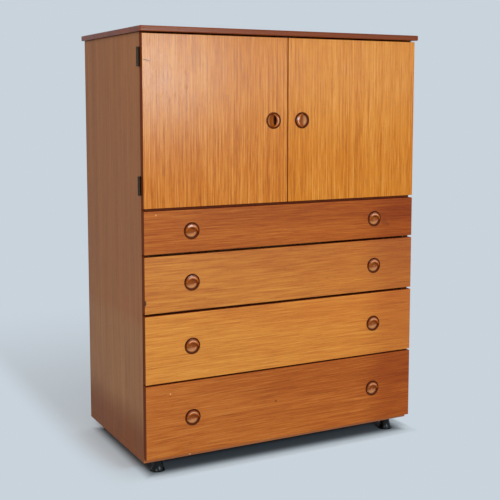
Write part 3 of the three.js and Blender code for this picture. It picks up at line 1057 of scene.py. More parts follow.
class Bench:
    """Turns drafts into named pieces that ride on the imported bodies."""

    def __init__(self) -> None:
        """Starts with no materials."""
        self._materials: dict[str, bpy.types.Material] = {}

    def _material(self, finish: Finish) -> bpy.types.Material:
        """Finds the material of a finish, which is built once.

        Args:
            finish: The finish.

        Returns:
            Its material.
        """
        if finish.name not in self._materials:
            self._materials[finish.name] = finish.material()
        return self._materials[finish.name]

    @staticmethod
    def _loose(bm: Draft, name: str) -> bpy.types.Object:
        """Makes an unparented object.

        Args:
            bm: Its draft, which is used up.
            name: Its name.

        Returns:
            The object.
        """
        mesh = bpy.data.meshes.new(name)
        bm.to_mesh(mesh)
        bm.free()
        made = bpy.data.objects.new(name, mesh)
        bpy.context.scene.collection.objects.link(made)
        return made

    def carve(self, bm: Draft, cutters: Sequence[Draft]) -> Draft:
        """Cuts forms out of a draft.

        Args:
            bm: The draft, which is used up.
            cutters: The forms to cut, which are used up.

        Returns:
            What is left.
        """
        if not cutters:
            return bm
        made = self._loose(bm, "carved")
        tools = [self._loose(cutter, "cutter") for cutter in cutters]
        for tool in tools:
            cut = made.modifiers.new("cut", "BOOLEAN")
            cut.operation = "DIFFERENCE"
            cut.solver = "EXACT"
            cut.object = tool
        graph = bpy.context.evaluated_depsgraph_get()
        result = bpy.data.meshes.new_from_object(made.evaluated_get(graph))
        left = bmesh.new()
        left.from_mesh(result)
        for used in (made, *tools):
            mesh = used.data
            bpy.data.objects.remove(used)
            bpy.data.meshes.remove(mesh)
        bpy.data.meshes.remove(result)
        return left

    def piece(
        self,
        name: str,
        bm: Draft,
        body: Body,
        finish: Finish,
        others: dict[Side, Finish] | None = None,
        stands_for: str | None = None,
        smooth: float = 35.0,
        rounds: int = 0,
        origin: Point = (0.0, 0.0, 0.0),
        turn: float = 0.0,
    ) -> None:
        """Makes a finished piece.

        Args:
            name: The piece's name.
            bm: Its draft, which is used up.
            body: The body that it rides on.
            finish: Its main finish.
            others: Other finishes for faces that look to a side.
            stands_for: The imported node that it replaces.
            smooth: Angle in degrees below which edges are shaded round.
            rounds: Levels of subdivision.
            origin: Place of the draft's own zero.
            turn: Angle that the draft is turned by about the depth axis.
        """
        made = self._loose(bm, name)
        made.location = origin
        made.rotation_euler = (0.0, turn, 0.0)
        mesh = made.data
        others = others or {}
        finishes = list(dict.fromkeys((finish, *others.values())))
        for one in finishes:
            mesh.materials.append(self._material(one))
        for face in mesh.polygons:
            face.use_smooth = True
            axis = max(range(3), key=lambda i: abs(face.normal[i]))
            sign = 1 if face.normal[axis] > 0 else -1
            face.material_index = finishes.index(others.get(Side((axis, sign)), finish))
        mesh.set_sharp_from_angle(angle=math.radians(smooth))
        if rounds:
            divide = made.modifiers.new("rounding", "SUBSURF")
            divide.levels = divide.render_levels = rounds
        else:
            made.modifiers.new("even_normals", "WEIGHTED_NORMAL").keep_sharp = True
        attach(made, body.value)
        if stands_for:
            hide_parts(stands_for)
        LOG.info("made %s, %d faces, on %s", name, len(mesh.polygons), body.value)


@dataclass(frozen=True)
class Screw:
    """A slotted countersunk head, with its shank and crown as shares of its radius and dome."""

    radius: float
    sink: float = 0.7 * MM
    shoulder: float = 0.06 * MM
    slot_width: float = 0.7 * MM
    slot_depth: float = 0.6 * MM
    dome: float = 0.25 * MM
    shank: float = 0.8
    crown: Profile = ((0.93, 0.3), (0.6, 0.8), (0.0, 1.0))
    segments: int = 20

    def head(self, bench: Bench, side: Side, at: Point, turn: float) -> Draft:
        """Builds the head where it lies.

        Args:
            bench: Where it is carved.
            side: Side that it faces.
            at: Middle of the head, on the surface.
            turn: Angle of the slot in degrees.

        Returns:
            The head.
        """
        r, lift, half = self.radius, self.dome, self.slot_width / 2
        profile = [
            (0, -self.sink), (r * self.shank, -self.sink), (r, -self.shoulder),
            *((r * out, lift * up) for out, up in self.crown),
        ]
        cutter = box_mesh(
            (-2 * r, -half, lift - self.slot_depth), (2 * r, half, 2 * lift + self.slot_depth),
        )
        cutter.transform(Matrix.Rotation(math.radians(turn), 4, "Z"))
        return swung(bench.carve(turned_mesh(profile, self.segments), [cutter]), side, at)


@dataclass
class Assembly:
    """A group of pieces that is made on a bench."""

    bench: Bench

    def board(
        self,
        name: str,
        node: str,
        body: Body,
        finish: Finish,
        ease: float,
        steps: int = 3,
        others: dict[Side, Finish] | None = None,
        cutters: Sequence[Draft] = (),
    ) -> None:
        """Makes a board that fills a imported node's box, less the cutters, and replaces the node."""
        draft = self.bench.carve(box_mesh(*board_box(node), ease, steps), cutters)
        self.bench.piece(name, draft, body, finish, others, node)

    def screws(
        self, name: str, body: Body, finish: Finish, screw: Screw, side: Side,
        spots: Iterable[tuple[Point, float]],
    ) -> None:
        """Makes one piece of screw heads, each with its place and its slot's angle in degrees."""
        heads = [screw.head(self.bench, side, at, turn) for at, turn in spots]
        self.bench.piece(name, joined(heads), body, finish)


# Carcass

FOOT_SPOTS = ("front_left", "front_right", "back_left", "back_right")
HINGE_ROWS = ("upper", "lower")
RUNNER_NUMBERS = (1, 2, 3)

# Profiles of the back panel's pins and the drawer boxes' nails
PIN_PROFILE = (
    (0, -1.0 * MM), (1.6 * MM, -1.0 * MM), (1.6 * MM, 0.1 * MM), (1.2 * MM, 0.35 * MM), (0, 0.45 * MM),
)
NAIL_PROFILE = ((0, -1.0 * MM), (1.1 * MM, -1.0 * MM), (1.1 * MM, 0.02 * MM), (0, 0.12 * MM))


@dataclass(frozen=True)
class LeafRebate:
    """The shallow cut in a board that takes one leaf of each hinge."""

    inset: float = 15.3 * MM
    depth: float = 1.8 * MM
    half: float = 24.3 * MM

    def cutters(self, node: str, hand: Hand, leaf: str, face: Side) -> list[Draft]:
        """Makes the cutters for the upper and the lower hinge.

        Args:
            node: The board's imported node.
            hand: Which way its outer end lies.
            leaf: "frame" or "door".
            face: The board's side that is cut, the front or the back.

        Returns:
            The cutters.
        """
        low, high = board_box(node)
        outer = hand.outer_end(low, high)
        x0, x1 = sorted((outer - hand.sign * self.inset, outer + hand.sign * OVERRUN))
        y0, y1 = low.y - OVERRUN, low.y + self.depth
        if face is Side.BACK:
            y0, y1 = high.y - self.depth, high.y + OVERRUN
        levels = [centre_of(f"hinge_{row}_{hand.label}_{leaf}_leaf")[2] for row in HINGE_ROWS]
        return [box_mesh((x0, y0, z - self.half), (x1, y1, z + self.half)) for z in levels]


@dataclass
class Carcass(Assembly):
    """The boards that the doors and drawers are hung in."""

    ease: float = 0.7 * MM
    top_ease: float = 2.4 * MM
    back_ease: float = 0.3 * MM
    housing_gap: float = 0.2 * MM
    spigot_bore: float = 4.3 * MM
    spigot_depth: float = 11.4 * MM
    pin_pitch: float = 95.0 * MM
    pin_inset: float = 6.0 * MM

    def _side(self, hand: Hand) -> None:
        """Builds one side panel, housed for the divider and the shelf.

        Args:
            hand: Which side panel.
        """
        node = f"cabinet_side_{hand.label}"
        low, high = board_box(node)
        cutters = []
        for shelf in ("cabinet_divider", "cupboard_shelf"):
            a, b = board_box(shelf, self.housing_gap)
            b.y = high.y + OVERRUN
            if shelf == "cabinet_divider":
                a.y = low.y - OVERRUN
            cutters.append(box_mesh(a, b))
        cutters += LeafRebate().cutters(node, hand, "frame", Side.FRONT)
        others = {hand.inner: INNER_VENEER, Side.FRONT: LIPPING}
        self.board(
            f"side_panel_{hand.label}", node, Body.CABINET, SIDE_VENEER, self.ease,
            others=others, cutters=cutters,
        )

    def _back_pins(self) -> None:
        """Builds the pins round the edge of the back panel."""
        low, high = board_box("cabinet_back")
        x0, x1 = low.x + self.pin_inset, high.x - self.pin_inset
        z0, z1 = low.z + self.pin_inset, high.z - self.pin_inset
        across = round((x1 - x0) / self.pin_pitch)
        up = round((z1 - z0) / self.pin_pitch)
        spots = [(x0 + (x1 - x0) * i / across, z) for i in range(across + 1) for z in (z0, z1)]
        spots += [(x, z0 + (z1 - z0) * i / up) for i in range(1, up) for x in (x0, x1)]
        pins = [swung(turned_mesh(PIN_PROFILE, TINY), Side.BACK, (x, high.y, z)) for x, z in spots]
        self.bench.piece("back_panel_pins", joined(pins), Body.CABINET, STEEL)

    def build(self) -> None:
        """Builds the carcass."""
        for hand in Hand:
            self._side(hand)
        self.board("top_board", "cabinet_top", Body.CABINET, TOP_VENEER, self.top_ease, steps=5)
        under = board_box("cabinet_base")[0].z
        bores = []
        for spot in FOOT_SPOTS:
            x, y, _ = centre_of(f"foot_{spot}")
            bore = turned_mesh(plug(self.spigot_bore, -OVERRUN, self.spigot_depth), SMALL)
            bores.append(swung(bore, Side.ABOVE, (x, y, under)))
        self.board(
            "base_board", "cabinet_base", Body.CABINET, BASE_VENEER, self.ease,
            others={Side.ABOVE: INNER_LEVEL, Side.LEFT: SIDE_VENEER, Side.RIGHT: SIDE_VENEER},
            cutters=bores,
        )
        self.board(
            "back_panel", "cabinet_back", Body.CABINET, BACK_BOARD, self.back_ease,
            steps=2, others={Side.FRONT: INNER_LEVEL},
        )
        self._back_pins()
        for node, name in (("cabinet_divider", "divider_board"), ("cupboard_shelf", "shelf_board")):
            edge = {Side.FRONT: LEVEL_LIPPING_PAINTED_BOUNCE}
            self.board(name, node, Body.CABINET, INNER_LEVEL, self.ease, others=edge)


@dataclass
class Foot(Assembly):
    """A flared moulding on a spigot under the base board."""

    spot: str
    rim: float = 20.0 * MM
    waist: float = 12.5 * MM
    flange: float = 15.0 * MM
    flange_height: float = 3.0 * MM
    flange_edge: float = 0.1 * MM
    ease: float = 0.5 * MM
    rim_height: float = 3.5 * MM
    floor_round: tuple[Span, ...] = ((0.8 * MM, 0.0), (0.2 * MM, 0.25 * MM), (0.0, 0.9 * MM))
    rim_round: tuple[Span, ...] = ((0.0, 0.9 * MM), (0.15 * MM, 0.3 * MM))
    spigot: float = 4.0 * MM
    gap: float = 0.3 * MM
    flare_power: float = 2.6
    flare_steps: int = 12

    def _profile(self, low: float, under: float, high: float) -> Profile:
        """The foot's outline from the floor up.

        Args:
            low: Level of the floor.
            under: Level of the flange's top.
            high: Level of the spigot's end.

        Returns:
            Radius and height of each ring.
        """
        r, f, rim_top, flare_top = self.rim, self.flange, low + self.rim_height, under - self.flange_height
        flare = []
        for i in range(self.flare_steps + 1):
            up = i / self.flare_steps
            out = (r - self.ease - self.waist) * (1 - up) ** self.flare_power
            flare.append((self.waist + out, rim_top + (flare_top - rim_top) * up))
        return [
            (0, low),
            *((r - inward, low + up) for inward, up in self.floor_round),
            *((r - inward, rim_top - down) for inward, down in self.rim_round),
            *flare,
            (f - self.ease, flare_top), (f, flare_top + self.ease),
            (f, under - self.flange_edge), (self.spigot, under), (self.spigot, high), (0, high),
        ]

    def build(self) -> None:
        """Builds the foot."""
        node = f"foot_{self.spot}"
        low, high = board_box(node)
        under = board_box("cabinet_base")[0].z - self.gap
        x, y, _ = centre_of(node)
        outline = self._profile(low.z, under, high.z)
        bm = swung(turned_mesh(outline, LARGE), Side.ABOVE, (x, y, 0))
        name = f"flared_foot_{self.spot}"
        self.bench.piece(name, bm, Body.CABINET, BLACK, stands_for=node, smooth=40.0)


# Finger pulls


@dataclass
class FingerPull(Assembly):
    """A turned disc set in a front, with an oval scoop that runs under its lip.

    Its own points are (right, up, out), with the lip up. The scoop is a tilted ellipsoid.
    """

    name: str
    node: str
    body: Body
    face: float
    lip: float
    radius: float = 22.0 * MM
    crown: float = 4.4 * MM
    seat: float = 0.3 * MM
    body_radius: float = 19.0 * MM
    body_round: float = 0.6 * MM
    depth: float = 13.0 * MM
    bore_radius: float = 19.3 * MM
    bore_depth: float = 13.5 * MM
    rim_round: Span = (0.5 * MM, 0.35 * MM)
    scoop: Point = (17.0 * MM, 14.5 * MM, 10.0 * MM)
    scoop_offset: float = -3.5 * MM
    scoop_tilt: float = -0.5
    edge: float = 1.9 * MM
    dome_power: float = 2.0
    crown_rings: tuple[float, ...] = (0.99, 0.965, 0.92, 0.86)
    mouth_rings: tuple[float, ...] = (0.35, 0.7, 0.92, 1.0)
    edge_rings: tuple[float, ...] = (0.25, 0.5, 0.75)
    scoop_rings: tuple[float, ...] = (0.11, 0.22, 0.36, 0.52, 0.68, 0.84)
    segments: int = 48
    halvings: int = 40

    @property
    def centre(self) -> Point:
        """Where the pull's axis meets the front."""
        x, _, z = centre_of(self.node)
        return (x, self.face, z)

    def bore(self) -> Draft:
        """The cutter for the blind bore that the pull sits in."""
        profile = plug(self.bore_radius, -self.bore_depth, OVERRUN)
        return swung(turned_mesh(profile, LARGE), Side.FRONT, self.centre)

    def _dome(self, radius: float) -> float:
        """Works out the height of the crown above the front.

        Args:
            radius: Distance from the middle.

        Returns:
            The height.
        """
        share = min(radius / self.radius, 1.0)
        rise = math.sqrt(max(0.0, 1 - share ** self.dome_power))
        return self.seat + (self.crown - self.seat) * rise

    def _on_dome(self, angle: float, radius: float) -> Vector:
        """The crown's point in one direction, from the right anticlockwise, at a distance."""
        return Vector((radius * math.cos(angle), radius * math.sin(angle), self._dome(radius)))

    def _to_scoop(self, point: Vector) -> Vector:
        """Moves a point to the space where the scoop is a unit ball.

        Args:
            point: The point.

        Returns:
            The moved point.
        """
        up, deep = point.y - self.scoop_offset, self.seat - point.z
        c, s = math.cos(self.scoop_tilt), math.sin(self.scoop_tilt)
        a, b, d = self.scoop
        return Vector((point.x / a, (up * c - deep * s) / b, (deep * c + up * s) / d))

    def _from_scoop(self, ball: Vector) -> Vector:
        """Undoes _to_scoop.

        Args:
            ball: The moved point.

        Returns:
            The point.
        """
        c, s = math.cos(self.scoop_tilt), math.sin(self.scoop_tilt)
        right, up, deep = (part * size for part, size in zip(ball, self.scoop))
        return Vector((right, deep * s + up * c + self.scoop_offset, self.seat - deep * c + up * s))

    def _mouth(self, angle: float) -> float:
        """Finds the scoop's mouth by halving.

        Args:
            angle: Direction, from the right anticlockwise.

        Returns:
            Distance of the mouth from the middle.
        """
        near, far = 0.0, self.radius
        for _ in range(self.halvings):
            radius = (near + far) / 2
            if self._to_scoop(self._on_dome(angle, radius)).length < 1:
                near = radius
            else:
                far = radius
        return near

    def _rings(self) -> list[list[Vector]]:
        """Works out the pull's surface.

        Returns:
            Rings of points, from the back's rim to the scoop's floor.
        """
        angles = [math.tau * i / self.segments for i in range(self.segments)]
        mouths = [self._mouth(a) for a in angles]
        r, body, ease = self.radius, self.body_radius, self.body_round
        outline = [
            (body - ease, -self.depth), (body, ease - self.depth), (body, self.seat - ease),
            (body, self.seat), (r - self.rim_round[0], self.seat), (r, self.seat + self.rim_round[1]),
            *((r * share, self._dome(r * share)) for share in self.crown_rings),
        ]
        rings = [
            [Vector((radius * math.cos(a), radius * math.sin(a), out)) for a in angles]
            for radius, out in outline
        ]
        start = r * self.crown_rings[-1]
        for share in self.mouth_rings:
            rings.append([
                self._on_dome(a, start + (mouth + self.edge - start) * share)
                for a, mouth in zip(angles, mouths)
            ])
        edge = [self._on_dome(a, mouth) for a, mouth in zip(angles, mouths)]
        on_ball = [self._to_scoop(point).normalized() for point in edge]
        pole = -sum(on_ball, Vector()).normalized()
        below = [
            [self._from_scoop(point.slerp(pole, share)) for point in on_ball]
            for share in self.scoop_rings
        ]
        outer = rings[-1]
        for share in self.edge_rings:
            rings.append([
                a * (1 - share) ** 2 + b * (2 * share * (1 - share)) + c * share ** 2
                for a, b, c in zip(outer, edge, below[0])
            ])
        return [*rings, *below, [self._from_scoop(pole)]]

    def build(self) -> None:
        """Builds the pull."""
        bm = bmesh.new()
        loops = [[bm.verts.new((p.x, -p.z, p.y)) for p in ring] for ring in self._rings()]
        skin(bm, loops, self.segments)
        bm.faces.new(loops[0][::-1])
        bmesh.ops.recalc_face_normals(bm, faces=bm.faces)
        self.bench.piece(
            self.name, bm, self.body, PULL_WOOD, stands_for=self.node, smooth=180.0, rounds=1,
            origin=self.centre, turn=math.pi / 2 - self.lip,
        )


# Hinges and catch


@dataclass
class Hinge(Assembly):
    """A bronzed butt hinge with its knuckle outside the corner."""

    row: str
    hand: Hand
    barrel: float = 4.0 * MM
    barrel_round: float = 0.35 * MM
    pin: float = 1.7 * MM
    pin_round: float = 0.4 * MM
    pin_gap: float = 0.02 * MM
    door_bore_gap: float = 0.2 * MM
    play: float = 0.3 * MM
    split: Span = (0.31, 0.69)
    leaf: Span = (0.6 * MM, 2.1 * MM)
    leaf_ease: float = 0.2 * MM
    leaf_reach: float = 1.25
    door_overrun: float = 1.0 * MM
    screw: Screw = Screw(2.6 * MM)
    screw_inset: float = 12.6 * MM
    screw_end: float = 7.0 * MM
    screw_turns: tuple[float, ...] = (25, 72, 119)

    def __post_init__(self) -> None:
        """Finds the hinge's box and axis."""
        self.low, self.high = board_box(self._node("frame"))
        x = self.hand.outer_end(self.low, self.high) - self.hand.sign * self.barrel
        self.axis = (x, self.low.y + self.barrel, 0.0)

    def _node(self, part: str) -> str:
        """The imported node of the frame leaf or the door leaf."""
        return f"hinge_{self.row}_{self.hand.label}_{part}_leaf"

    def _turned(self, profile: Profile, segments: int = MIDDLING, hollow: bool = False) -> Draft:
        """Turns a profile about the hinge's axis."""
        return swung(turned_mesh(profile, segments, hollow), Side.ABOVE, self.axis)

    def _leaf(self, front: float, back: float, gaps: Sequence[Span]) -> Draft:
        """Makes a leaf that is cut back round the other leaf's knuckles.

        Args:
            front: Depth of its front face, from the axis.
            back: Depth of its back face, from the axis.
            gaps: Levels between which it is cut back.

        Returns:
            The leaf.
        """
        x, y, _ = self.axis
        end = x - self.hand.sign * self.pin * self.leaf_reach
        x0, x1 = sorted((self.hand.inner_end(self.low, self.high), end))
        leaf = box_mesh(
            (x0, y + front, self.low.z), (x1, y + back, self.high.z), self.leaf_ease, steps=2,
        )
        cutters = [self._turned(plug(self.barrel + self.play, a, b)) for a, b in gaps]
        return self.bench.carve(leaf, cutters)

    def _knuckle(self, bore: float, low: float, high: float) -> Draft:
        """Makes a hollow knuckle with eased ends.

        Args:
            bore: Radius of its bore.
            low: Level of its lower end.
            high: Level of its upper end.

        Returns:
            The knuckle.
        """
        r, e = self.barrel, self.barrel_round
        outline = [(bore, low), (r - e, low), (r, low + e), (r, high - e), (r - e, high), (bore, high)]
        return self._turned(outline, hollow=True)

    def _pin(self) -> Draft:
        """Makes the pin.

        Returns:
            The pin.
        """
        gap, e = self.pin_gap, self.pin_round
        r, low, high = self.pin - gap, self.low.z, self.high.z
        lower_end = [(0, low), (r - e, low + gap), (r, low + e)]
        upper_end = [(r, high - e), (r - e, high - gap), (0, high)]
        return self._turned(lower_end + upper_end, SMALL)

    def build(self) -> None:
        """Builds both leaves, the pin and the screws."""
        low, high = self.low.z, self.high.z
        near, far = self.leaf
        first, second = (low + (high - low) * share for share in self.split)
        frame_first, frame_second = first - self.play, second + self.play
        door_gaps = [(low - self.door_overrun, first), (second, high + self.door_overrun)]
        frame = [
            self._leaf(near, far, [(frame_first, frame_second)]),
            self._knuckle(self.pin, low, frame_first),
            self._knuckle(self.pin, frame_second, high),
            self._pin(),
        ]
        door = [
            self._leaf(-far, -near, door_gaps),
            self._knuckle(self.pin + self.door_bore_gap, first, second),
        ]
        name = f"{self.row}_{self.hand.label}_hinge"
        leaves = (("frame", Body.CABINET, frame), ("door", self.hand.door, door))
        for part, body, drafts in leaves:
            made = joined(drafts)
            self.bench.piece(f"{name}_{part}_leaf", made, body, BRONZE, stands_for=self._node(part))
        x, y, _ = self.axis
        x -= self.hand.sign * self.screw_inset
        levels = (low + self.screw_end, (low + high) / 2, high - self.screw_end)
        faces = ((y + near, Side.FRONT), (y - near, Side.BACK))
        for (part, body, _), (face, side) in zip(leaves, faces):
            spots = [((x, face, z), turn) for z, turn in zip(levels, self.screw_turns)]
            self.screws(f"{name}_{part}_screws", body, BRONZE, self.screw, side, spots)


@dataclass
class Catch(Assembly):
    """The magnetic catch under the top and the strike plates on the doors."""

    housing_ease: float = 1.8 * MM
    pole_width: float = 14.0 * MM
    pole_height: float = 2.0 * MM
    pole_depth: float = 4.0 * MM
    pole_out: float = 0.15 * MM
    pole_shift: float = 2.6 * MM
    pole_ease: float = 0.2 * MM
    plate_ease: float = 0.25 * MM
    plate_bore: float = 2.5 * MM
    bore_half: float = 3.0 * MM
    screw: Screw = Screw(2.4 * MM)
    screw_turn: float = 35.0

    def _poles(self) -> None:
        """Builds a pair of poles behind each strike plate."""
        front = board_box("door_catch")[0].y
        level = centre_of("door_catch")[2]
        half_width, half_height = self.pole_width / 2, self.pole_height / 2
        poles = []
        for hand in Hand:
            x = centre_of(f"strike_plate_{hand.label}")[0]
            for z in (level - self.pole_shift, level + self.pole_shift):
                poles.append(box_mesh(
                    (x - half_width, front - self.pole_out, z - half_height),
                    (x + half_width, front + self.pole_depth, z + half_height), self.pole_ease,
                    steps=2,
                ))
        self.bench.piece("catch_poles", joined(poles), Body.CABINET, STEEL)

    def build(self) -> None:
        """Builds the catch and the plates."""
        self.board("catch_housing", "door_catch", Body.CABINET, BLACK, self.housing_ease, steps=4)
        self._poles()
        for hand in Hand:
            node = f"strike_plate_{hand.label}"
            x, y, z = centre_of(node)
            profile = plug(self.plate_bore, -self.bore_half, self.bore_half)
            bore = swung(turned_mesh(profile, SMALL), Side.BACK, (x, y, z))
            name = f"strike_plate_of_{hand.label}_door"
            self.board(name, node, hand.door, STEEL, self.plate_ease, steps=2, cutters=[bore])
            spot = (x, board_box(node)[1].y - self.plate_ease, z)
            name = f"strike_screw_of_{hand.label}_door"
            self.screws(name, hand.door, STEEL, self.screw, Side.BACK, [(spot, self.screw_turn)])


# Doors and drawers


@dataclass
class Door(Assembly):
    """A veneered door with its finger pull."""

    hand: Hand
    ease: float = 1.0 * MM

    def build(self) -> None:
        """Builds the door and its pull."""
        hand, body = self.hand, self.hand.door
        node = f"door_{hand.label}"
        pull = FingerPull(
            self.bench, f"{hand.label}_door_finger_pull", f"door_pull_{hand.label}", body,
            board_box(node)[0].y, 0.0 if hand is Hand.LEFT else math.pi,
        )
        cutters = [pull.bore(), *LeafRebate().cutters(node, hand, "door", Side.BACK)]
        others = {
            hand.outer: LIPPING, hand.inner: MEETING_EDGE, Side.BACK: INNER_VENEER,
            Side.ABOVE: LEVEL_LIPPING_PAINTED_BOUNCE, Side.BELOW: LEVEL_LIPPING_PAINTED_BOUNCE,
        }
        self.board(
            f"{hand.label}_door", node, body, DOOR_FINISHES[hand], self.ease,
            others=others, cutters=cutters,
        )
        pull.build()


@dataclass
class Drawer(Assembly):
    """An overlaid front on a grooved box, with two finger pulls."""

    number: int
    finish: Veneer
    ease: float = 1.0 * MM
    box_ease: float = 0.5 * MM
    bottom_ease: float = 0.2 * MM
    front_gap: float = 0.3 * MM
    side_gap: float = 0.2 * MM
    side_overrun: float = 5.0 * MM
    tall_back: float = 80.0 * MM
    nail_span: Span = (0.18, 0.64)

    def __post_init__(self) -> None:
        """Names the drawer and its body."""
        self.name = f"drawer_{self.number}"
        self.body = Body(self.name)

    def _front(self) -> None:
        """Builds the front and its pulls."""
        name, node = self.name, f"{self.name}_front"
        face = board_box(node)[0].y
        pulls = [
            FingerPull(
                self.bench, f"{name}_{hand.label}_finger_pull", f"{name}_pull_{hand.label}",
                self.body, face, math.pi / 2,
            )
            for hand in Hand
        ]
        groove = box_mesh(*board_box(f"{name}_bottom", self.front_gap))
        cutters = [groove, *(pull.bore() for pull in pulls)]
        others = {
            Side.LEFT: LIPPING, Side.RIGHT: LIPPING, Side.BACK: INNER_LEVEL,
            Side.ABOVE: LEVEL_LIPPING_PAINTED_BOUNCE, Side.BELOW: LEVEL_LIPPING_PAINTED_BOUNCE,
        }
        self.board(
            f"{name}_veneered_front", node, self.body, self.finish, self.ease,
            others=others, cutters=cutters,
        )
        for pull in pulls:
            pull.build()

    def _box(self) -> None:
        """Builds the sides, back and bottom."""
        name, body, ease = self.name, self.body, self.box_ease
        for hand in Hand:
            node = f"{name}_side_{hand.label}"
            low, high = board_box(node)
            a, b = board_box(f"{name}_bottom", self.side_gap)
            a.y, b.y = low.y - self.side_overrun, high.y + self.side_overrun
            title = f"{name}_box_side_{hand.label}"
            groove = box_mesh(a, b)
            self.board(title, node, body, INNER_DEEP, ease, steps=2, cutters=[groove])
        self.board(f"{name}_box_back", f"{name}_back", body, INNER_LEVEL, ease, steps=2)
        self.board(f"{name}_box_bottom", f"{name}_bottom", body, PLY, self.bottom_ease, steps=2)

    def _nails(self) -> None:
        """Builds the nails that hold the sides to the back."""
        low, high = board_box(f"{self.name}_back")
        height = high.z - low.z
        count = 2 if height < self.tall_back else 3
        start, span = self.nail_span
        nails = []
        for hand in Hand:
            x = hand.outer_end(*board_box(f"{self.name}_side_{hand.label}"))
            for i in range(count):
                spot = (x, (low.y + high.y) / 2, low.z + height * (start + span * i / (count - 1)))
                nails.append(swung(turned_mesh(NAIL_PROFILE, TINY), hand.outer, spot))
        self.bench.piece(f"{self.name}_box_nails", joined(nails), self.body, STEEL)

    def build(self) -> None:
        """Builds the drawer."""
        self._front()
        self._box()
        self._nails()


@dataclass
class Runner(Assembly):
    """A wooden drawer runner screwed to a side panel."""

    number: int
    hand: Hand
    ease: float = 0.8 * MM
    screw: Screw = Screw(3.2 * MM)
    screw_shares: tuple[float, ...] = (0.12, 0.5, 0.88)
    first_turn: float = 20.0
    turn_gain: float = 160.0

    def build(self) -> None:
        """Builds the runner and its screws."""
        node = f"runner_{self.number}_{self.hand.label}"
        self.board(f"drawer_{node}", node, Body.CABINET, INNER_DEEP, self.ease)
        low, high = board_box(node)
        x, z = self.hand.inner_end(low, high), (low.z + high.z) / 2
        spots = [
            ((x, low.y + (high.y - low.y) * share, z), self.first_turn + self.turn_gain * share)
            for share in self.screw_shares
        ]
        name = f"drawer_{node}_screws"
        self.screws(name, Body.CABINET, STEEL, self.screw, self.hand.inner, spots)


# Studio


@dataclass(frozen=True)
class Lamp:
    """A soft rectangular lamp."""

    name: str
    place: Point
    target: Point
    size: Span
    radiance: float
    tint: Colour

    def build(self) -> None:
        """Hangs the lamp."""
        width, height = self.size
        data = bpy.data.lights.new(self.name, "AREA")
        data.shape = "RECTANGLE"
        data.size, data.size_y = width, height
        data.energy = self.radiance * math.pi * width * height
        data.color = self.tint
        lamp = bpy.data.objects.new(self.name, data)
        lamp.location = self.place
        aim = Vector(self.target) - Vector(self.place)
        lamp.rotation_euler = aim.to_track_quat("-Z", "Y").to_euler()
        bpy.context.scene.collection.objects.link(lamp)


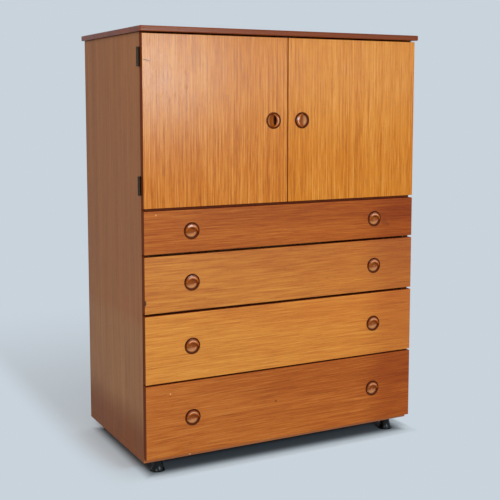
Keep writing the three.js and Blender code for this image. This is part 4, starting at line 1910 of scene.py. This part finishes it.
@dataclass
class Studio:
    """The floor, backdrop, lamps and camera."""

    footprint: tuple[Vector, Vector]
    backdrop: Colour = rgb(201, 211, 220)
    paper: Colour = rgb(224, 234, 243)
    # Painted shadow on the floor under the cabinet
    under: Colour = rgb(74, 80, 88)
    under_shadow_share: float = 0.9
    soft_shade: float = 1.8
    side_shade: float = 0.13
    crisp_shade: float = 0.022
    core: float = 0.05
    floor_half: float = 40.0
    sky: float = 0.56
    sky_tint: Colour = (1.0, 0.99, 0.97)
    camera_place: Point = (-1.2823, -2.4698, 0.9575)
    camera_yaw: float = 27.492
    camera_pitch: float = 6.02
    lens: float = 69.9
    sensor: float = 36.0
    shift_y: float = -0.09
    reach: float = 200.0
    lamps: tuple[Lamp, ...] = (
        Lamp("sheen", (0.4, -2.6, 1.12), (-0.2, -0.2, 1.0), (0.85, 0.36), 28.0, (0.64, 0.92, 1.0)),
        Lamp("strip", (1.5, -2.4, 1.16), (0.2, -0.2, 1.0), (1.2, 0.36), 4.2, (0.85, 0.95, 1.0)),
        Lamp("key", (-1.9, -1.9, 2.1), (0.0, 0.0, 0.6), (1.0, 1.0), 8.5, (1.0, 0.99, 0.97)),
    )

    def _camera(self) -> None:
        """Makes the camera at the photograph's viewing angle."""
        data = bpy.data.cameras.new("camera")
        data.lens = self.lens
        data.sensor_width = self.sensor
        data.shift_y = self.shift_y
        data.clip_end = self.reach
        camera = bpy.data.objects.new("camera", data)
        camera.location = self.camera_place
        camera.rotation_euler = (
            math.radians(90 - self.camera_pitch), 0.0, math.radians(-self.camera_yaw),
        )
        bpy.context.scene.collection.objects.link(camera)
        bpy.context.scene.camera = camera

    def _world(self) -> None:
        """Makes the even surround."""
        world = bpy.data.worlds.new("surround")
        bpy.context.scene.world = world
        world.use_nodes = True
        graph = Graph(world.node_tree)
        shown = graph.shown()
        kind = "ShaderNodeBackground"
        light = graph.node(kind, {}, {"Color": self.sky_tint, "Strength": self.sky})
        pale = graph.node(kind, {}, {"Color": self.backdrop, "Strength": 1.0})
        both = graph.node("ShaderNodeMixShader", {}, {0: shown, 1: light, 2: pale})
        graph.finish(both, "ShaderNodeOutputWorld")

    def _floor_paper(self) -> bpy.types.Material:
        """Makes the floor's material, with a painted shadow under the cabinet and its own lit shading
        beside it.

        Returns:
            The material.
        """
        made, graph = new_material("floor_paper")
        x, y, _ = graph.place()
        low, high = self.footprint
        middle, half = (low + high) / 2, (high - low) / 2
        left = (middle.x - half.x - x).greater(0.0) / self.side_shade
        right = (x - (middle.x + half.x)).greater(0.0) / self.crisp_shade
        front = (middle.y - half.y - y).greater(0.0) / self.crisp_shade
        back = (y - (middle.y + half.y)).greater(0.0) / self.soft_shade
        away = (left * left + right * right + front * front + back * back) ** 0.5
        inside = (half.x - abs(x - middle.x)).lesser(half.y - abs(y - middle.y))
        share = graph.shown() * away.rise(0.0, 1.0)
        # Painted shadow: the floor darkens inside the cabinet's footprint
        dark = inside.rise(0.0, self.core) * self.under_shadow_share
        tone = graph.mix(dark, self.paper, self.under)
        paper = graph.node("ShaderNodeBsdfDiffuse", {}, {"Color": tone})
        glow = graph.node("ShaderNodeEmission", {}, {"Color": self.backdrop, "Strength": 1.0})
        graph.finish(graph.node("ShaderNodeMixShader", {}, {0: share, 1: paper, 2: glow}))
        return made

    def _floor(self) -> None:
        """Makes the pale floor."""
        bm = bmesh.new()
        h = self.floor_half
        bm.faces.new([bm.verts.new(p) for p in ((-h, -h, 0), (h, -h, 0), (h, h, 0), (-h, h, 0))])
        mesh = bpy.data.meshes.new("floor")
        bm.to_mesh(mesh)
        bm.free()
        floor = bpy.data.objects.new("floor", mesh)
        bpy.context.scene.collection.objects.link(floor)
        mesh.materials.append(self._floor_paper())
        floor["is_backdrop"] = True

    def build(self) -> None:
        """Builds the studio."""
        bpy.context.scene.view_settings.view_transform = "Standard"
        self._camera()
        self._world()
        self._floor()
        for lamp in self.lamps:
            lamp.build()
        LOG.info("studio is set")


def main() -> None:
    """Builds the whole dressed model and its studio."""
    logging.basicConfig(level=logging.INFO, format="%(name)s: %(message)s")
    packed_low, packed_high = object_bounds()
    bench = Bench()
    Studio((Vector(packed_low), Vector(packed_high))).build()
    Carcass(bench).build()
    for spot in FOOT_SPOTS:
        Foot(bench, spot).build()
    for hand in Hand:
        Door(bench, hand).build()
        for row in HINGE_ROWS:
            Hinge(bench, row, hand).build()
        for number in RUNNER_NUMBERS:
            Runner(bench, number, hand).build()
    Catch(bench).build()
    for number, finish in enumerate(DRAWER_FINISHES, start=1):
        Drawer(bench, number, finish).build()


if __name__ == "__main__":
    main()
